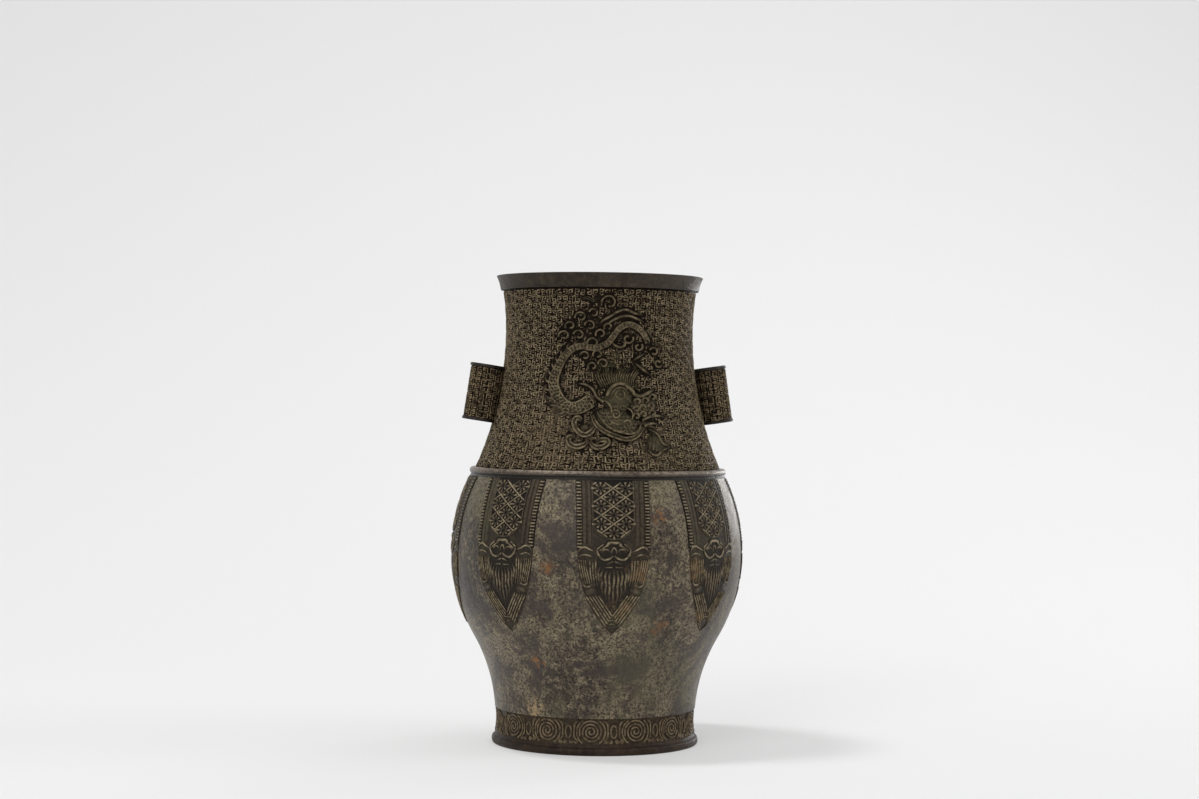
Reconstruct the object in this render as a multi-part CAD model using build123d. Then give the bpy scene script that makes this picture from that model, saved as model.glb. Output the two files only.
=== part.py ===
from build123d import *

import os
from math import cos, radians, sin, sqrt

# Bronze hu vessel: a round jar on a ring foot, with a waisted neck, a collared mouth and two tube lugs.
# Millimetres, +Z up. The origin is the centre of the face that it stands on. The lugs lie on the X axis
# and the dragons face -Y and +Y. Plain walls are turned about Z, and relief is cut from a turned skin,
# so that each raised piece seats exactly on the wall that carries it.

# Heights of the stacked sections, from the floor up
FLANGE_HEIGHT = 7.6
FOOT_BAND_HEIGHT = 18.4
BELLY_HEIGHT = 168.5
RIB_HEIGHT = 6.2
NECK_HEIGHT = 129.0
COLLAR_HEIGHT = 10.3

# Foot flange
FLANGE_RADIUS = 75.4
FLANGE_LOWER_HEIGHT = 5.4
FLANGE_EDGE_ROUND = 1.4
FLANGE_STEP = 1.9

# Foot band, slightly waisted
FOOT_BAND_BOTTOM_RADIUS = 72.6
FOOT_BAND_WAIST_RADIUS = 71.4
FOOT_BAND_TOP_RADIUS = 72.3
FOOT_BORE_RADIUS = 68.2
FOOT_TONGUE_LENGTH = 3.4

# Frieze of the foot band: spiral roundels with upright loops between them
SCROLL_COUNT = 14
SCROLL_START = -8.5
SCROLL_RELIEF = 0.8
SCROLL_RADIUS = 8.2
SCROLL_LINE = 1.7
SCROLL_PITCH = 3.6
SCROLL_HALF_TURNS = 4
LOOP_HEIGHT = 9.2
LOOP_WIDTH = 3.8
LOOP_LINE = 1.1

# Base plate, dropped onto a ledge in the foot band and trapped under the belly
BASE_PLATE_THICKNESS = 3.2
LEDGE_INNER_RADIUS = 64.6
LEDGE_THICKNESS = 3.0

# Belly, three tangent arcs from foot to shoulder, with heights above its lower edge
BELLY_BOTTOM_RADIUS = 73.2
BELLY_BEND_RADIUS = 89.3
BELLY_BEND_HEIGHT = 52.0
BELLY_WIDEST_RADIUS = 105.7
BELLY_WIDEST_HEIGHT = 113.0
BELLY_TOP_RADIUS = 92.8
BELLY_LIP_THICKNESS = 3.0
BELLY_LOWER_LIP_RADIUS = 66.4

# Shoulder rib: a half-round over a groove and a thin fillet
RIB_PROUD = 0.9
RIB_FILLET_HEIGHT = 1.3
RIB_GROOVE_HEIGHT = 0.7
RIB_GROOVE_DEPTH = 1.1

# Neck, two tangent arcs that meet at the waist, with the waist's height above the shoulder
NECK_STEP = 4.0
NECK_WAIST_RADIUS = 67.8
NECK_WAIST_HEIGHT = 99.3
NECK_TOP_RADIUS = 70.1

# Rim collar
COLLAR_BOTTOM_RADIUS = 72.5
COLLAR_TOP_RADIUS = 75.7
COLLAR_HOLLOW = 0.5
COLLAR_SOCKET_DEPTH = 6.0
COLLAR_LIP_BEVEL = 0.5
DRIP_GROOVE_WIDTH = 1.0
DRIP_GROOVE_DEPTH = 1.2

# Walls and fits
WALL = 3.2
TONGUE_THICKNESS = 1.6
FIT_CLEARANCE = 0.1

# Tube lugs, leaning out towards their lower ends, with their middle's height above the shoulder
LUG_RISE = 53.7
LUG_STAND_OFF = 11.62
LUG_LEAN = 8.4
LUG_LENGTH = 41.5
LUG_TUBE_RADIUS = 12.25
LUG_BORE_RADIUS = 9.2
LUG_SPIGOT_RADIUS = 10.8
LUG_RING_RADIUS = 13.4
LUG_RING_THICKNESS = 2.2
LUG_RING_BEVEL = 0.5

# Lappets that hang on the belly, with depths below the rib
LAPPET_COUNT = 8
LAPPET_LENGTH = 107.5
LAPPET_WIDTH = 50.0
LAPPET_STRAIGHT = 50.0
LAPPET_BASE_RELIEF = 0.7
LAPPET_RELIEF = 1.4
RAIL_WIDTH = 3.5
RAIL_LENGTH = 49.0
PANEL_WIDTH = 29.6
PANEL_LENGTH = 41.0
MASK_WIDTH = 21.0
MASK_HEIGHT = 17.0
MASK_DEPTH = 50.5
EYE_RADIUS = 2.2
EYE_SPACING = 9.2
EYE_DEPTH = 47.6
TASSEL_LENGTH = 20.0
TASSEL_WIDTH = 8.0
TASSEL_SPACING = 41.0
TASSEL_DEPTH = 52.5
TASSEL_LEAN = 9.0
BEARD_LENGTH = 27.0
BEARD_WIDTH = 11.0
BEARD_DEPTH = 59.5
CHEVRON_WIDTH = 36.0
CHEVRON_ARM = 8.5
CHEVRON_DEPTH = 77.5
CHEVRON_LENGTH = 23.0

# Dragon among clouds on the neck, as seen from the front, with heights above the shoulder
DRAGON_RELIEF = 1.5
DRAGON_TAIL_WIDTH = 4.0
DRAGON_CHEST_WIDTH = 9.0
DRAGON_SPINE = [
    (29.2, 88.2),
    (24.0, 100.2),
    (12.3, 104.4),
    (2.9, 97.4),
    (-2.7, 87.8),
    (-12.5, 84.8),
    (-24.2, 86.1),
    (-33.6, 79.0),
    (-37.0, 67.1),
    (-36.6, 55.1),
    (-31.6, 44.8),
    (-22.8, 40.3),
    (-13.5, 42.3),
    (-4.8, 48.0),
]
DRAGON_HEAD_CENTRE = (7.3, 49.8)
DRAGON_HEAD_SIZE = (26.0, 20.0)
DRAGON_JAW_CENTRE = (5.3, 30.8)
DRAGON_JAW_SIZE = (36.0, 11.0)
DRAGON_JAW_TURN = -19.0
MANE_ROOT = (21.0, 48.3)
MANE_LENGTH = 13.0
MANE_WIDTH = 5.5
MANE_TURNS = (38.0, 8.0, -24.0)
CLOUD_RADIUS = 5.2
CLOUD_CENTRES = [(-22.2, 28.8), (-27.0, 18.3), (-14.5, 16.8), (-5.5, 114.8), (-31.0, 96.8)]
FISH_TAIL_CENTRE = (33.0, 16.3)
FISH_TAIL_SIZE = (13.0, 8.0)
FISH_TAIL_TURN = -35.0

# Levels and radii worked out from the stack
BAND_TOP = FLANGE_HEIGHT + FOOT_BAND_HEIGHT
BELLY_TOP = BAND_TOP + BELLY_HEIGHT
NECK_BOTTOM = BELLY_TOP + RIB_HEIGHT
NECK_TOP = NECK_BOTTOM + NECK_HEIGHT
COLLAR_TOP = NECK_TOP + COLLAR_HEIGHT
RIB_RADIUS = BELLY_TOP_RADIUS + RIB_PROUD
NECK_BOTTOM_RADIUS = BELLY_TOP_RADIUS - NECK_STEP
NECK_INNER_BOTTOM = NECK_BOTTOM_RADIUS - WALL
NECK_INNER_TOP = NECK_TOP_RADIUS - WALL
REACH = 2 * BELLY_WIDEST_RADIUS

# The seams of the turned walls lie between two lappets, clear of the relief and the lugs
SEAM_TURN = 180 / LAPPET_COUNT


def turned(lines):
    """A solid of revolution from a closed outline of radius and height."""
    return Rot(0, 0, SEAM_TURN) * revolve(Plane.XZ * make_face(lines), Axis.Z)


def ring(inner, outer, bottom, top):
    """A plain ring about the vessel's axis."""
    corners = [(inner, bottom), (outer, bottom), (outer, top), (inner, top)]
    return turned(Polyline(*corners, close=True))


def belly_side(shift):
    """The belly's outside line, moved out by shift."""
    bottom = (BELLY_BOTTOM_RADIUS + shift, BAND_TOP)
    bend = (BELLY_BEND_RADIUS + shift, BAND_TOP + BELLY_BEND_HEIGHT)
    widest = (BELLY_WIDEST_RADIUS + shift, BAND_TOP + BELLY_WIDEST_HEIGHT)
    top = (BELLY_TOP_RADIUS + shift, BELLY_TOP)
    upper = TangentArc(widest, top, tangent=(0, 1))
    middle = TangentArc(widest, bend, tangent=(0, -1))
    lower = TangentArc(bend, bottom, tangent=middle % 1)
    return [upper, middle, lower]


def neck_side(shift):
    """The neck's outside line from shoulder to collar, moved out by shift."""
    waist = (NECK_WAIST_RADIUS + shift, NECK_BOTTOM + NECK_WAIST_HEIGHT)
    lower = TangentArc(waist, (NECK_BOTTOM_RADIUS + shift, NECK_BOTTOM), tangent=(0, -1))
    upper = TangentArc(waist, (NECK_TOP_RADIUS + shift, NECK_TOP), tangent=(0, 1))
    return [lower, upper]


def neck_radius(rise):
    """The neck's outside radius below the waist, at a height above the shoulder."""
    spread = NECK_BOTTOM_RADIUS - NECK_WAIST_RADIUS
    sweep = (spread**2 + NECK_WAIST_HEIGHT**2) / (2 * spread)
    return NECK_WAIST_RADIUS + sweep - sqrt(sweep**2 - (NECK_WAIST_HEIGHT - rise) ** 2)


def band_side(shift):
    """The foot band's outside line, moved out by shift."""
    return ThreePointArc(
        (FOOT_BAND_BOTTOM_RADIUS + shift, FLANGE_HEIGHT),
        (FOOT_BAND_WAIST_RADIUS + shift, FLANGE_HEIGHT + FOOT_BAND_HEIGHT / 2),
        (FOOT_BAND_TOP_RADIUS + shift, BAND_TOP),
    )


def band_skin(sink, relief):
    """A turned skin on the foot band, which starts below its outside by sink."""
    top = Line((FOOT_BAND_TOP_RADIUS - sink, BAND_TOP), (FOOT_BAND_TOP_RADIUS + relief, BAND_TOP))
    bottom = Line(
        (FOOT_BAND_BOTTOM_RADIUS - sink, FLANGE_HEIGHT), (FOOT_BAND_BOTTOM_RADIUS + relief, FLANGE_HEIGHT)
    )
    return turned([band_side(-sink), top, band_side(relief), bottom])


def belly_skin(relief):
    """A turned skin on the outside of the belly, as thick as the relief."""
    top = Line((BELLY_TOP_RADIUS, BELLY_TOP), (BELLY_TOP_RADIUS + relief, BELLY_TOP))
    bottom = Line((BELLY_BOTTOM_RADIUS, BAND_TOP), (BELLY_BOTTOM_RADIUS + relief, BAND_TOP))
    return turned(belly_side(0) + [top] + belly_side(relief) + [bottom])


def neck_skin(relief):
    """A turned skin on the outside of the neck, as thick as the relief."""
    top = Line((NECK_TOP_RADIUS, NECK_TOP), (NECK_TOP_RADIUS + relief, NECK_TOP))
    bottom = Line((NECK_BOTTOM_RADIUS, NECK_BOTTOM), (NECK_BOTTOM_RADIUS + relief, NECK_BOTTOM))
    return turned(neck_side(0) + [top] + neck_side(relief) + [bottom])


def forward(outline):
    """A flat outline, drawn as seen from the front, run forward from the vessel's axis."""
    return extrude(Plane.XZ * outline, amount=REACH)


def foot_flange():
    edge = FLANGE_RADIUS - FLANGE_EDGE_ROUND
    upper = FLANGE_RADIUS - FLANGE_STEP
    socket = FOOT_BORE_RADIUS + TONGUE_THICKNESS + FIT_CLEARANCE
    shelf = FLANGE_HEIGHT - FOOT_TONGUE_LENGTH
    lower_round = ThreePointArc(
        (edge, 0), (FLANGE_RADIUS, FLANGE_LOWER_HEIGHT / 2), (edge, FLANGE_LOWER_HEIGHT)
    )
    tread = Line((edge, FLANGE_LOWER_HEIGHT), (upper, FLANGE_LOWER_HEIGHT))
    upper_round = RadiusArc(
        (upper, FLANGE_LOWER_HEIGHT),
        (FOOT_BAND_BOTTOM_RADIUS, FLANGE_HEIGHT),
        -2 * (FLANGE_HEIGHT - FLANGE_LOWER_HEIGHT),
    )
    inside = Polyline(
        (FOOT_BAND_BOTTOM_RADIUS, FLANGE_HEIGHT),
        (socket, FLANGE_HEIGHT),
        (socket, shelf),
        (FOOT_BORE_RADIUS, shelf),
        (FOOT_BORE_RADIUS, 0),
        (edge, 0),
    )
    return turned([lower_round, tread, upper_round, inside])


def spiral():
    """A flat spiral line of half rings, each smaller than the last by half the pitch."""
    line = Sketch()
    for step in range(SCROLL_HALF_TURNS):
        centre = (-SCROLL_PITCH / 2 * (step % 2), 0)
        outer = SCROLL_RADIUS - SCROLL_PITCH / 2 * step
        inner = outer - SCROLL_LINE
        start = 180 * (step % 2)
        arcs = [CenterArc(centre, outer, start, 180), CenterArc(centre, inner, start, 180)]
        ends = [Line(arcs[0] @ share, arcs[1] @ share) for share in (0, 1)]
        line += make_face(arcs + ends)
    return line


def frieze():
    """Roundels and loops in turn, made at the front and carried round the foot band."""
    middle = FLANGE_HEIGHT + FOOT_BAND_HEIGHT / 2
    loop = Ellipse(LOOP_WIDTH / 2, LOOP_HEIGHT / 2)
    loop -= Ellipse(LOOP_WIDTH / 2 - LOOP_LINE, LOOP_HEIGHT / 2 - LOOP_LINE)
    skin = band_skin(SCROLL_RELIEF, SCROLL_RELIEF)
    roundel = forward(Pos(0, middle) * spiral()) & skin
    upright = forward(Pos(0, middle) * loop) & skin
    step = 360 / SCROLL_COUNT
    turns = [SCROLL_START + number * step for number in range(SCROLL_COUNT)]
    roundels = [Rot(0, 0, turn) * roundel for turn in turns]
    loops = [Rot(0, 0, turn + step / 2) * upright for turn in turns]
    return roundels + loops


def foot_band():
    tongue = FOOT_BORE_RADIUS + TONGUE_THICKNESS
    seat = BAND_TOP - BASE_PLATE_THICKNESS
    inside = Polyline(
        (FOOT_BAND_TOP_RADIUS, BAND_TOP),
        (FOOT_BORE_RADIUS, BAND_TOP),
        (FOOT_BORE_RADIUS, seat),
        (LEDGE_INNER_RADIUS, seat),
        (LEDGE_INNER_RADIUS, seat - LEDGE_THICKNESS),
        (FOOT_BORE_RADIUS, seat - LEDGE_THICKNESS),
        (FOOT_BORE_RADIUS, FLANGE_HEIGHT - FOOT_TONGUE_LENGTH),
        (tongue, FLANGE_HEIGHT - FOOT_TONGUE_LENGTH),
        (tongue, FLANGE_HEIGHT),
        (FOOT_BAND_BOTTOM_RADIUS, FLANGE_HEIGHT),
    )
    return turned([band_side(0), inside]) + frieze()


def base_plate():
    plate = Cylinder(FOOT_BORE_RADIUS - FIT_CLEARANCE, BASE_PLATE_THICKNESS)
    return Pos(0, 0, BAND_TOP - BASE_PLATE_THICKNESS / 2) * plate


def belly_wall():
    top = Line((BELLY_TOP_RADIUS - WALL, BELLY_TOP), (BELLY_TOP_RADIUS, BELLY_TOP))
    bottom = Line((BELLY_BOTTOM_RADIUS - WALL, BAND_TOP), (BELLY_BOTTOM_RADIUS, BAND_TOP))
    shell = turned(belly_side(0) + [top] + belly_side(-WALL) + [bottom])
    socket = NECK_INNER_BOTTOM + TONGUE_THICKNESS + FIT_CLEARANCE
    upper_lip = ring(socket, BELLY_TOP_RADIUS - WALL / 2, BELLY_TOP - BELLY_LIP_THICKNESS, BELLY_TOP)
    lower_lip = ring(
        BELLY_LOWER_LIP_RADIUS, BELLY_BOTTOM_RADIUS - WALL / 2, BAND_TOP, BAND_TOP + BELLY_LIP_THICKNESS
    )
    return shell + upper_lip + lower_lip


def shoulder_rib():
    seat = NECK_BOTTOM_RADIUS + FIT_CLEARANCE
    fillet_top = BELLY_TOP + RIB_FILLET_HEIGHT
    round_bottom = fillet_top + RIB_GROOVE_HEIGHT
    groove = RIB_RADIUS - RIB_GROOVE_DEPTH
    widest = (RIB_RADIUS, round_bottom + RIB_GROOVE_DEPTH)
    land = (RIB_RADIUS - (NECK_BOTTOM - widest[1]), NECK_BOTTOM)
    lower = Polyline(
        land,
        (seat, NECK_BOTTOM),
        (seat, BELLY_TOP),
        (RIB_RADIUS - RIB_GROOVE_DEPTH / 2, BELLY_TOP),
        (RIB_RADIUS - RIB_GROOVE_DEPTH / 2, fillet_top),
        (groove, fillet_top),
        (groove, round_bottom),
    )
    under = TangentArc(widest, (groove, round_bottom), tangent=(0, -1))
    over = TangentArc(widest, land, tangent=(0, 1))
    return turned([lower, under, over])


def neck_wall():
    tongue_bottom = BELLY_TOP - BELLY_LIP_THICKNESS
    lower_end = Polyline(
        (NECK_BOTTOM_RADIUS, NECK_BOTTOM),
        (NECK_BOTTOM_RADIUS, BELLY_TOP),
        (NECK_INNER_BOTTOM + TONGUE_THICKNESS, BELLY_TOP),
        (NECK_INNER_BOTTOM + TONGUE_THICKNESS, tongue_bottom),
        (NECK_INNER_BOTTOM, tongue_bottom),
        (NECK_INNER_BOTTOM, NECK_BOTTOM),
    )
    upper_end = Polyline(
        (NECK_TOP_RADIUS, NECK_TOP),
        (NECK_INNER_TOP + TONGUE_THICKNESS, NECK_TOP),
        (NECK_INNER_TOP + TONGUE_THICKNESS, NECK_TOP + COLLAR_SOCKET_DEPTH),
        (NECK_INNER_TOP, NECK_TOP + COLLAR_SOCKET_DEPTH),
        (NECK_INNER_TOP, NECK_TOP),
    )
    return turned(neck_side(0) + neck_side(-WALL) + [lower_end, upper_end])


def neck_core():
    """The whole space inside the neck's outside, which trims what is joined to the neck."""
    ends = Polyline(
        (NECK_BOTTOM_RADIUS, NECK_BOTTOM), (0, NECK_BOTTOM), (0, NECK_TOP), (NECK_TOP_RADIUS, NECK_TOP)
    )
    return turned(neck_side(0) + [ends])


def rim_collar():
    socket = NECK_INNER_TOP + TONGUE_THICKNESS + FIT_CLEARANCE
    socket_top = NECK_TOP + COLLAR_SOCKET_DEPTH
    groove_inner = NECK_TOP_RADIUS + DRIP_GROOVE_WIDTH / 2
    groove_outer = groove_inner + DRIP_GROOVE_WIDTH
    groove_top = NECK_TOP + DRIP_GROOVE_DEPTH
    flare_middle = (COLLAR_BOTTOM_RADIUS + COLLAR_TOP_RADIUS) / 2 - COLLAR_HOLLOW
    outside = ThreePointArc(
        (COLLAR_BOTTOM_RADIUS, NECK_TOP),
        (flare_middle, NECK_TOP + COLLAR_HEIGHT / 2),
        (COLLAR_TOP_RADIUS, COLLAR_TOP),
    )
    inside = Polyline(
        (COLLAR_TOP_RADIUS, COLLAR_TOP),
        (NECK_INNER_TOP, COLLAR_TOP),
        (NECK_INNER_TOP, socket_top),
        (socket, socket_top),
        (socket, NECK_TOP),
        (groove_inner, NECK_TOP),
        (groove_inner, groove_top),
        (groove_outer, groove_top),
        (groove_outer, NECK_TOP),
        (COLLAR_BOTTOM_RADIUS, NECK_TOP),
    )
    collar = turned([outside, inside])
    lip_edges = collar.edges().group_by(Axis.Z)[-1]
    return chamfer(lip_edges, COLLAR_LIP_BEVEL)


def lug_place():
    """Where the right lug's tube stands, with its axis along the local Z."""
    return Pos(neck_radius(LUG_RISE) + LUG_STAND_OFF, 0, NECK_BOTTOM + LUG_RISE) * Rot(0, -LUG_LEAN, 0)


def lug_tube(core):
    body = Cylinder(LUG_TUBE_RADIUS, LUG_LENGTH - 2 * LUG_RING_THICKNESS)
    spigots = Cylinder(LUG_SPIGOT_RADIUS, LUG_LENGTH)
    bore = Cylinder(LUG_BORE_RADIUS, LUG_LENGTH)
    return lug_place() * (body + spigots - bore) - core


def lug_ring(end, core):
    """The ring on one end of the tube: end is 1 at the top and -1 at the bottom."""
    outer = Cylinder(LUG_RING_RADIUS, LUG_RING_THICKNESS)
    outer = chamfer(outer.edges().filter_by(GeomType.CIRCLE), LUG_RING_BEVEL)
    hole = Cylinder(LUG_SPIGOT_RADIUS + FIT_CLEARANCE, LUG_RING_THICKNESS)
    place = Pos(0, 0, end * (LUG_LENGTH - LUG_RING_THICKNESS) / 2)
    return lug_place() * place * (outer - hole) - core


def flame(length, width):
    """A pointed leaf that starts at the origin and runs along +X."""
    upper = ThreePointArc((0, 0), (length / 2, width / 2), (length, 0))
    lower = ThreePointArc((0, 0), (length / 2, -width / 2), (length, 0))
    return make_face([upper, lower])


def lappet_outline():
    """A hanging blade: straight sides, then two arcs that meet in a point."""
    half = LAPPET_WIDTH / 2
    turn = BELLY_TOP - LAPPET_STRAIGHT
    tip = (0, BELLY_TOP - LAPPET_LENGTH)
    right = TangentArc((half, turn), tip, tangent=(0, -1))
    left = TangentArc((-half, turn), tip, tangent=(0, -1))
    head = Polyline((half, turn), (half, BELLY_TOP), (-half, BELLY_TOP), (-half, turn))
    return make_face([right, left, head])


def side_rails():
    """A raised rail down each straight side, which carries the ladder of bars."""
    side = (LAPPET_WIDTH - RAIL_WIDTH) / 2
    rail = Rectangle(RAIL_WIDTH, RAIL_LENGTH)
    height = BELLY_TOP - RAIL_LENGTH / 2
    return Pos(side, height) * rail + Pos(-side, height) * rail


def lattice_panel():
    """The U-shaped field of the diamond lattice."""
    half = PANEL_WIDTH / 2
    turn = BELLY_TOP - PANEL_LENGTH + half
    bottom = ThreePointArc((-half, turn), (0, turn - half), (half, turn))
    head = Polyline((half, turn), (half, BELLY_TOP), (-half, BELLY_TOP), (-half, turn))
    return make_face([bottom, head])


def mask():
    """A mask below the panel, with a round hollow for each eye."""
    face = Pos(0, BELLY_TOP - MASK_DEPTH) * Ellipse(MASK_WIDTH / 2, MASK_HEIGHT / 2)
    for side in (-1, 1):
        face -= Pos(side * EYE_SPACING / 2, BELLY_TOP - EYE_DEPTH) * Circle(EYE_RADIUS)
    return face


def tassels_and_beard():
    """A hanging leaf at each side of the mask and one below it."""
    leaves = Pos(0, BELLY_TOP - BEARD_DEPTH) * Rot(0, 0, -90) * flame(BEARD_LENGTH, BEARD_WIDTH)
    for side in (-1, 1):
        root = Pos(side * TASSEL_SPACING / 2, BELLY_TOP - TASSEL_DEPTH)
        leaves += root * Rot(0, 0, -90 - side * TASSEL_LEAN) * flame(TASSEL_LENGTH, TASSEL_WIDTH)
    return leaves


def chevron():
    """The V of cords above the tip."""
    half = CHEVRON_WIDTH / 2
    inner = half - CHEVRON_ARM
    top = BELLY_TOP - CHEVRON_DEPTH
    tip = top - CHEVRON_LENGTH
    inner_tip = top - CHEVRON_LENGTH * inner / half
    points = [(-half, top), (-inner, top), (0, inner_tip), (inner, top), (half, top), (0, tip)]
    return make_face(Polyline(*points, close=True))


def lappet():
    blade = forward(lappet_outline()) & belly_skin(LAPPET_BASE_RELIEF)
    raised = side_rails() + lattice_panel() + mask() + tassels_and_beard() + chevron()
    return blade + (forward(raised) & belly_skin(LAPPET_RELIEF))


def dragon_body():
    """A serpent's body of growing width along its spine, from the tail to the chest."""
    spine = Spline(*DRAGON_SPINE)
    steps = 2 * len(DRAGON_SPINE)
    left = []
    right = []
    for step in range(steps + 1):
        share = step / steps
        half = (DRAGON_TAIL_WIDTH + (DRAGON_CHEST_WIDTH - DRAGON_TAIL_WIDTH) * share) / 2
        across = (spine % share).rotate(Axis.Z, 90) * half
        left.append(spine @ share + across)
        right.append(spine @ share - across)
    ends = [Line(left[0], right[0]), Line(left[-1], right[-1])]
    return make_face([Spline(*left), Spline(*right)] + ends)


def dragon():
    figure = dragon_body()
    figure += Pos(*DRAGON_HEAD_CENTRE) * Ellipse(DRAGON_HEAD_SIZE[0] / 2, DRAGON_HEAD_SIZE[1] / 2)
    jaw = Ellipse(DRAGON_JAW_SIZE[0] / 2, DRAGON_JAW_SIZE[1] / 2)
    figure += Pos(*DRAGON_JAW_CENTRE) * Rot(0, 0, DRAGON_JAW_TURN) * jaw
    for turn in MANE_TURNS:
        back = Pos(-MANE_WIDTH * cos(radians(turn)), MANE_WIDTH * sin(radians(turn)))
        figure += Pos(*MANE_ROOT) * back * Rot(0, 0, turn) * flame(MANE_LENGTH, MANE_WIDTH)
    for centre in CLOUD_CENTRES:
        figure += Pos(*centre) * Circle(CLOUD_RADIUS)
    tail = Ellipse(FISH_TAIL_SIZE[0] / 2, FISH_TAIL_SIZE[1] / 2)
    figure += Pos(*FISH_TAIL_CENTRE) * Rot(0, 0, FISH_TAIL_TURN) * tail
    return forward(Pos(0, NECK_BOTTOM) * figure) & neck_skin(DRAGON_RELIEF)


def save(shape, name):
    export_step(shape, f"parts/{name}.step")


os.makedirs("parts", exist_ok=True)

save(foot_flange(), "foot_flange")
save(foot_band(), "foot_band")
save(base_plate(), "base_plate")
save(belly_wall(), "belly_wall")
save(shoulder_rib(), "shoulder_rib")
save(neck_wall(), "neck_wall")
save(rim_collar(), "rim_collar")

inside_neck = neck_core()
lug_pieces = {
    "handle_tube": lug_tube(inside_neck),
    "handle_top_ring": lug_ring(1, inside_neck),
    "handle_bottom_ring": lug_ring(-1, inside_neck),
}
for piece_name, piece in lug_pieces.items():
    save(piece, f"right_{piece_name}")
    save(Rot(0, 0, 180) * piece, f"left_{piece_name}")

front_lappet = lappet()
for number in range(LAPPET_COUNT):
    save(Rot(0, 0, number * 360 / LAPPET_COUNT) * front_lappet, f"lappet_{number + 1}")

front_dragon = dragon()
save(front_dragon, "front_dragon")
save(Rot(0, 0, 180) * front_dragon, "back_dragon")
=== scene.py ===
from math import atan2, cos, pi, radians, sin, tau

import bpy
import numpy as np
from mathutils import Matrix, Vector
from mathutils.kdtree import KDTree


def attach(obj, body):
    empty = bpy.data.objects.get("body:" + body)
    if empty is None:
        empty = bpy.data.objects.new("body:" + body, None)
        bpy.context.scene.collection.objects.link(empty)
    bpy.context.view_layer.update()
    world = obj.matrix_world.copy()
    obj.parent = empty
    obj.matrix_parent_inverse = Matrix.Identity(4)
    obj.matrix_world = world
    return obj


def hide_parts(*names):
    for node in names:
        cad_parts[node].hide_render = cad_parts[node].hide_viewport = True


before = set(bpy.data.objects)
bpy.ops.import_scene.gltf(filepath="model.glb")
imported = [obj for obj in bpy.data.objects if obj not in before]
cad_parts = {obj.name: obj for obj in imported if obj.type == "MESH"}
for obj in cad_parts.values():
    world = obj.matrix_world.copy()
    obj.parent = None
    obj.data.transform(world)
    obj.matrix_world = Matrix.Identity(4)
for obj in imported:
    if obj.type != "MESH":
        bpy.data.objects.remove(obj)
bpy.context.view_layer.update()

# Bronze hu vessel, dressed for its photo. Lengths are millimetres and angles degrees, unless a name says
# otherwise. Ornament is drawn flat, as across, up and out from the wall, and then laid on the turned walls.

MM = 0.001
TURN_STEPS = 192
FIT = 0.1
SINK = 0.15  # how far ornament reaches into the wall that carries it

# Camera, read from the photo: level, a little to the left of the front and slightly turned about its view
CAMERA_DISTANCE = 1759
CAMERA_HEIGHT = 250.5
CAMERA_SIDE = 0.7
CAMERA_AZIMUTH = -6.5
CAMERA_ROLL = -0.67
CAMERA_LENS = 72.06
CAMERA_SENSOR = 36

# Heights of the walls above the floor
FLANGE_TOP = 7.6
BAND_TOP = 26
BELLY_TOP = 194.5
SHOULDER = 200.7
NECK_TOP = 329.7
RIM_TOP = 340
WALL = 3.2

# Outside lines of the turned walls, where a point is a radius and a height
FLANGE_RADIUS = 75.4
FLANGE_TREAD = 5.4
FLANGE_ROUND = 1.4
FLANGE_STEP = [(73.5, FLANGE_TREAD), (73.3, 6.6)]
FOOT_BORE = 68.2
BAND_RADII = (72.6, 71.4, 72.3)
BAND_STEPS = 9
BELLY_BOTTOM_RADIUS = 73.2
BELLY_LEDGE = 6.8
BELLY_BEND = (89.3, 78)
BELLY_WIDEST = (105.7, 139)
BELLY_TOP_RADIUS = 92.8
BELLY_STEPS = 16
NECK_BOTTOM_RADIUS = 88.8
NECK_TONGUE = 3
NECK_WAIST = (67.8, 300)
NECK_TOP_RADIUS = 70.1
NECK_STEPS = (24, 10)
RIB_RADIUS = 93.7
RIB_MIDDLE = 198.1
RIB_HALF_SIZE = (2.1, 2.6)
RIB_FILLET = [(93.1, BELLY_TOP), (93.1, 195.8), (92.5, 195.9), (92.5, 196.6)]
# Heights over which the rib's colour runs from painted shade below to a painted highlight on top
RIB_PAINTED_LIGHT = (196.6, 199.4)
RIM_BOTTOM_RADIUS = 72.5
RIM_TOP_RADIUS = 75.7
RIM_HOLLOW = 0.5
RIM_STEPS = 7
UNDERCUT_RADII = (70.6, 71.6)
UNDERCUT_TOP = 330.9

# Tube lugs
LUG_AXIS_RADIUS = 83.7
LUG_MIDDLE = 254.4
LUG_LEAN = 8.4
LUG_LENGTH = 41.5
LUG_RADIUS = 12.25
LUG_BORE = 9.2
LUG_RING_RADIUS = 13.4
LUG_RING_BORE = 10.8
LUG_RING_HEIGHT = 2.2
LUG_RING_GAP = 0.3
LUG_BELT_GAP = 0.7

# Squared spirals of the neck and the lugs: columns and rows of cells all round, columns and rows of the block
# that is repeated, and the width and height of a stroke. Inside a cell, sizes are shares of the cell.
NECK_GRID, NECK_BLOCK, NECK_STROKE = (100, 26), (10, 13), (1.05, 0.7)
LUG_GRID, LUG_BLOCK, LUG_STROKE = (16, 4), (8, 4), (1.2, 0.5)
NECK_MARGINS = (0.6, 1.2)
SPIRAL_CELL = [
    [(0.18, 0.1), (0.18, 0.88), (0.82, 0.88), (0.82, 0.5), (0.44, 0.5)],
    [(0.42, 0.12), (0.84, 0.12)],
]
SPIRAL_SLIT = 0.07
SPIRAL_BRIDGE = (-0.2, 0.24)
# A band round the dragons where the spirals sink, baring the recess-dark ground as a painted shadow round
# them
DRAGON_SHADOW_GAP = 1.4
DRAGON_SHADOW_GAP_DEPTH = 1.4

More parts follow.
